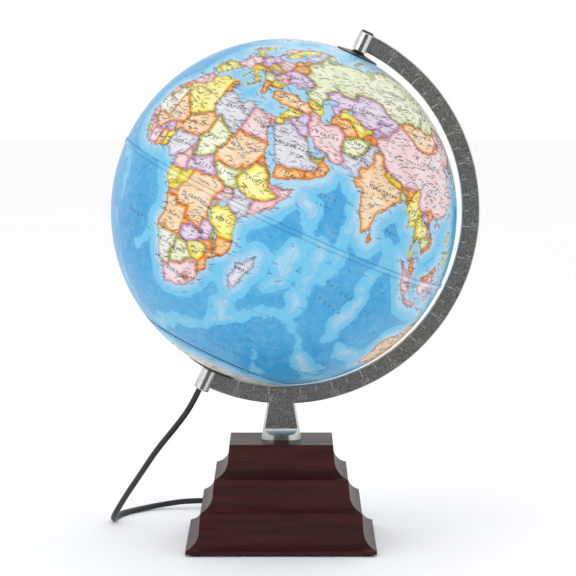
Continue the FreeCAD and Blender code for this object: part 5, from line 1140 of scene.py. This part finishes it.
SCALE_FACE = -(ARM_HALF + 0.04 * MM)
FIRST_ANGLE = 55.0          # of the scale's top tick, measured from +X; the rest follow downward
TICK_STEP = 5.0
TICK_COUNT = 33
TOP_NUMERAL = 80
DIGITS = {                  # strokes on a grid 4 wide and 6 high, from the lower left
    "0": ["1 0, 3 0, 4 1, 4 5, 3 6, 1 6, 0 5, 0 1, 1 0"],
    "1": ["1 5, 2 6, 2 0"],
    "2": ["0 5, 1 6, 3 6, 4 5, 4 4, 0 0, 4 0"],
    "3": ["0 5, 1 6, 3 6, 4 5, 4 4, 3 3, 4 2, 4 1, 3 0, 1 0, 0 1", "1.6 3, 3 3"],
    "4": ["3 0, 3 6, 0 2, 4 2"],
    "5": ["4 6, 0 6, 0 3.4, 3 3.4, 4 2.4, 4 1, 3 0, 1 0, 0 1"],
    "6": ["4 5, 3 6, 1 6, 0 5, 0 1, 1 0, 3 0, 4 1, 4 2.4, 3 3.4, 0 3.4"],
    "7": ["0 6, 4 6, 1.6 0"],
    "8": ["1 3, 0 4, 0 5, 1 6, 3 6, 4 5, 4 4, 3 3, 4 2, 4 1, 3 0, 1 0, 0 1, 0 2, 1 3, 3 3"],
    "'": ["0 6, 1 6, 1 5, 0 5, 0 6"],
}


def on_arm(angle, radius):
    """A point on the arm's front face, from its angle in degrees and its radius in metres."""
    turn = math.radians(angle)
    return Vector((ARM_CENTRE.x + radius * math.cos(turn), SCALE_FACE,
                   ARM_CENTRE.z + radius * math.sin(turn)))


def add_bar(shape, a, b, half):
    """A flat bar from a to b on the front face, facing -Y."""
    along = (b - a).normalized()
    side = Vector((along.z, 0, -along.x)) * half
    corners = [a - along * half * 0.7 + side, b + along * half * 0.7 + side,
               b + along * half * 0.7 - side, a - along * half * 0.7 - side]
    face = shape.faces.new([shape.verts.new(p) for p in corners])
    face.normal_update()
    if face.normal.y > 0:
        face.normal_flip()


def arm_scale():
    shape = bmesh.new()
    for k in range(TICK_COUNT):
        angle = FIRST_ANGLE - TICK_STEP * k
        low, length = (1.0, 6.2) if k % 2 == 0 else (2.4, 3.3)
        add_bar(shape, on_arm(angle, ARM_INNER + low * MM),
                on_arm(angle, ARM_INNER + (low + length) * MM), 0.48 * MM)
    width, height, gap = 2.5 * MM, 4.6 * MM, 1.0 * MM
    foot = ARM_INNER + 8.9 * MM
    for k in range(TICK_COUNT // 2 + 1):
        angle = FIRST_ANGLE - 2 * TICK_STEP * k
        text = str(abs(TOP_NUMERAL - 10 * k)) + "'"
        total = len(text) * (width + gap) - gap - 1.2 * MM
        for place, sign in enumerate(text):
            start = -total / 2 + place * (width + gap)
            for stroke in DIGITS[sign]:
                path = [(start + x * width / 4, foot + y * height / 6) for x, y in degrees(stroke)]
                points = [on_arm(angle - math.degrees(x / ARM_INNER), radius) for x, radius in path]
                for a, b in zip(points, points[1:]):
                    add_bar(shape, a, b, 0.30 * MM)
    mesh = bpy.data.meshes.new("arm_scale")
    shape.to_mesh(mesh)
    shape.free()
    scale = placed("arm_scale", mesh)
    m = Nodes("scale_print")
    worn = m.ramp(m.noise(700, 5, 0.65), 0.35, 0.6)
    m.finish(base_color=m.mix(worn, (0.20, 0.20, 0.19), (0.36, 0.36, 0.34)), roughness=0.45,
             normal=m.bump(m.noise(1500, 2), 0.1, 0.00002))
    mesh.materials.append(m.material)
    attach(scale, "stand")


# ---- the mains lead: one cord to the switch, and one from it through the coil to the plug ----

CORD_DIAMETER = 5.3 * MM
SWITCH_IN = (-84.0, 155.0, 7.0)
SWITCH_OUT = (-24.0, 155.0, 7.0)
CORD_EXIT = (-85.06, 0.0, 137.45)
ROUTE_TO_SWITCH = [
    CORD_EXIT, (-92.67, 0.0, 121.14), (-107.2, 5.0, 101.3), (-123.8, 17.0, 80.0),
    (-140.0, 33.0, 54.0), (-156.5, 54.0, 27.5), (-169.5, 78.0, 2.7), (-164.0, 113.0, 2.7),
    (-144.0, 139.0, 2.7), (-124.0, 152.0, 4.2), (-102.0, 155.0, 7.0), SWITCH_IN]
ROUTE_TO_COIL = [SWITCH_OUT, (-17.0, 155.0, 6.2), (-9.2, 154.97, 3.5), (-2.4, 154.95, 2.7),
                 (8.0, 154.95, 2.7)]
ROUTE_TO_PLUG = [(8.0, 81.05, 7.95), (-2.4, 81.05, 7.95), (-10.3, 81.05, 8.5), (-18.0, 82.98, 8.5)]
COIL_CENTRE = (18.0, 118.0)
LOWER_LAYER, UPPER_LAYER = 2.65, 7.95
OUTER_TURN = 36.95
TURN_STEP = 5.3
TURNS = 7.5
POINTS_PER_TURN = 24
STEP_START = 110.0          # degrees into each turn where it starts to step to the next
STEP_SPAN = 240.0
CLIMB_BULGE = 2.4           # mm inward while the cord climbs to the upper layer


def coil_points():
    """The wound turns: four inward on the desk, then three and a half outward on top of them."""
    points = []
    for i in range(1, int(TURNS * POINTS_PER_TURN)):
        turned = 360.0 * i / POINTS_PER_TURN
        shares = [min(max((turned - 360.0 * k - STEP_START) / STEP_SPAN, 0.0), 1.0)
                  for k in range(int(TURNS))]
        stepped = sum(share * share * (3 - 2 * share) for share in shares)
        climb = min(max(stepped - 3.0, 0.0), 1.0)
        inward = min(stepped, 3.0) - max(stepped - 4.0, 0.0)
        radius = OUTER_TURN - TURN_STEP * inward - CLIMB_BULGE * math.sin(math.pi * climb)
        height = LOWER_LAYER + (UPPER_LAYER - LOWER_LAYER) * climb
        angle = math.radians(90.0 - turned)
        points.append((COIL_CENTRE[0] + radius * math.cos(angle),
                       COIL_CENTRE[1] + radius * math.sin(angle), height))
    return points


def lay_cord(name, points):
    curve = bpy.data.curves.new(name, "CURVE")
    curve.dimensions = "3D"
    curve.bevel_depth = CORD_DIAMETER / 2
    curve.bevel_resolution = 5
    curve.resolution_u = 8
    curve.use_fill_caps = True
    line = curve.splines.new("NURBS")
    line.points.add(len(points) - 1)
    for point, place in zip(line.points, points):
        point.co = (*(v * MM for v in place), 1)
    line.order_u = 3
    line.use_endpoint_u = True
    cord = placed(name, curve)
    curve.materials.append(CORD)
    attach(cord, "stand")
    return cord


def lay_lead():
    first = lay_cord("lead_to_switch", ROUTE_TO_SWITCH)
    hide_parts("cord_to_switch")
    wound = ROUTE_TO_COIL + coil_points() + ROUTE_TO_PLUG
    second = lay_cord("lead_to_plug", wound)
    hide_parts("cord_to_coil", "cord_coil", "cord_to_plug")


# ---- the whole model ----

finish_cad_nodes()
map_ball()
map_marks()
arm_scale()
lay_lead()

# ---- stage, light and camera ----

CAMERA_PLACE = (-0.0065, -2.48, 0.505)
CAMERA_PITCH = 6.39         # degrees below level
CAMERA_LENS = 176.25
FLOOR_HALF = 6.0


def stage():
    """The pale floor and an even white surround."""
    floor = bpy.data.meshes.new("floor")
    shape = bmesh.new()
    bmesh.ops.create_grid(shape, x_segments=8, y_segments=8, size=FLOOR_HALF)
    shape.to_mesh(floor)
    shape.free()
    ground = placed("floor", floor)
    m = Nodes("floor_paper")
    m.finish(base_color=m.mix(m.noise(3), (0.95, 0.95, 0.95), (0.98, 0.98, 0.98)), roughness=0.8)
    floor.materials.append(m.material)
    world = bpy.data.worlds.new("studio")
    bpy.context.scene.world = world
    world.use_nodes = True
    background = world.node_tree.nodes["Background"]
    background.inputs["Color"].default_value = (1, 1, 1, 1)
    background.inputs["Strength"].default_value = 1.0


def area_light(name, place, target, size, power):
    lamp = bpy.data.lights.new(name, "AREA")
    lamp.shape = "RECTANGLE"
    lamp.size, lamp.size_y = size
    lamp.energy = power
    light = placed(name, lamp)
    light.location = place
    light.rotation_euler = (Vector(target) - Vector(place)).to_track_quat("-Z", "Y").to_euler()


def camera():
    lens = bpy.data.cameras.new("camera")
    lens.lens = CAMERA_LENS
    lens.sensor_width = 36
    eye = placed("camera", lens)
    eye.location = CAMERA_PLACE
    eye.rotation_euler = Euler((math.radians(90 - CAMERA_PITCH), 0, 0))
    bpy.context.scene.camera = eye


bpy.context.scene.view_settings.view_transform = "Standard"
camera()
stage()
area_light("key", (-1.2, -1.3, 1.3), (0, 0, 0.25), (1.2, 1.2), 7)
area_light("fill", (1.5, -1.6, 0.7), (0, 0, 0.2), (1.4, 1.4), 3.5)
area_light("rim", (0.6, 1.4, 1.4), (0, 0, 0.25), (1.4, 0.8), 3)
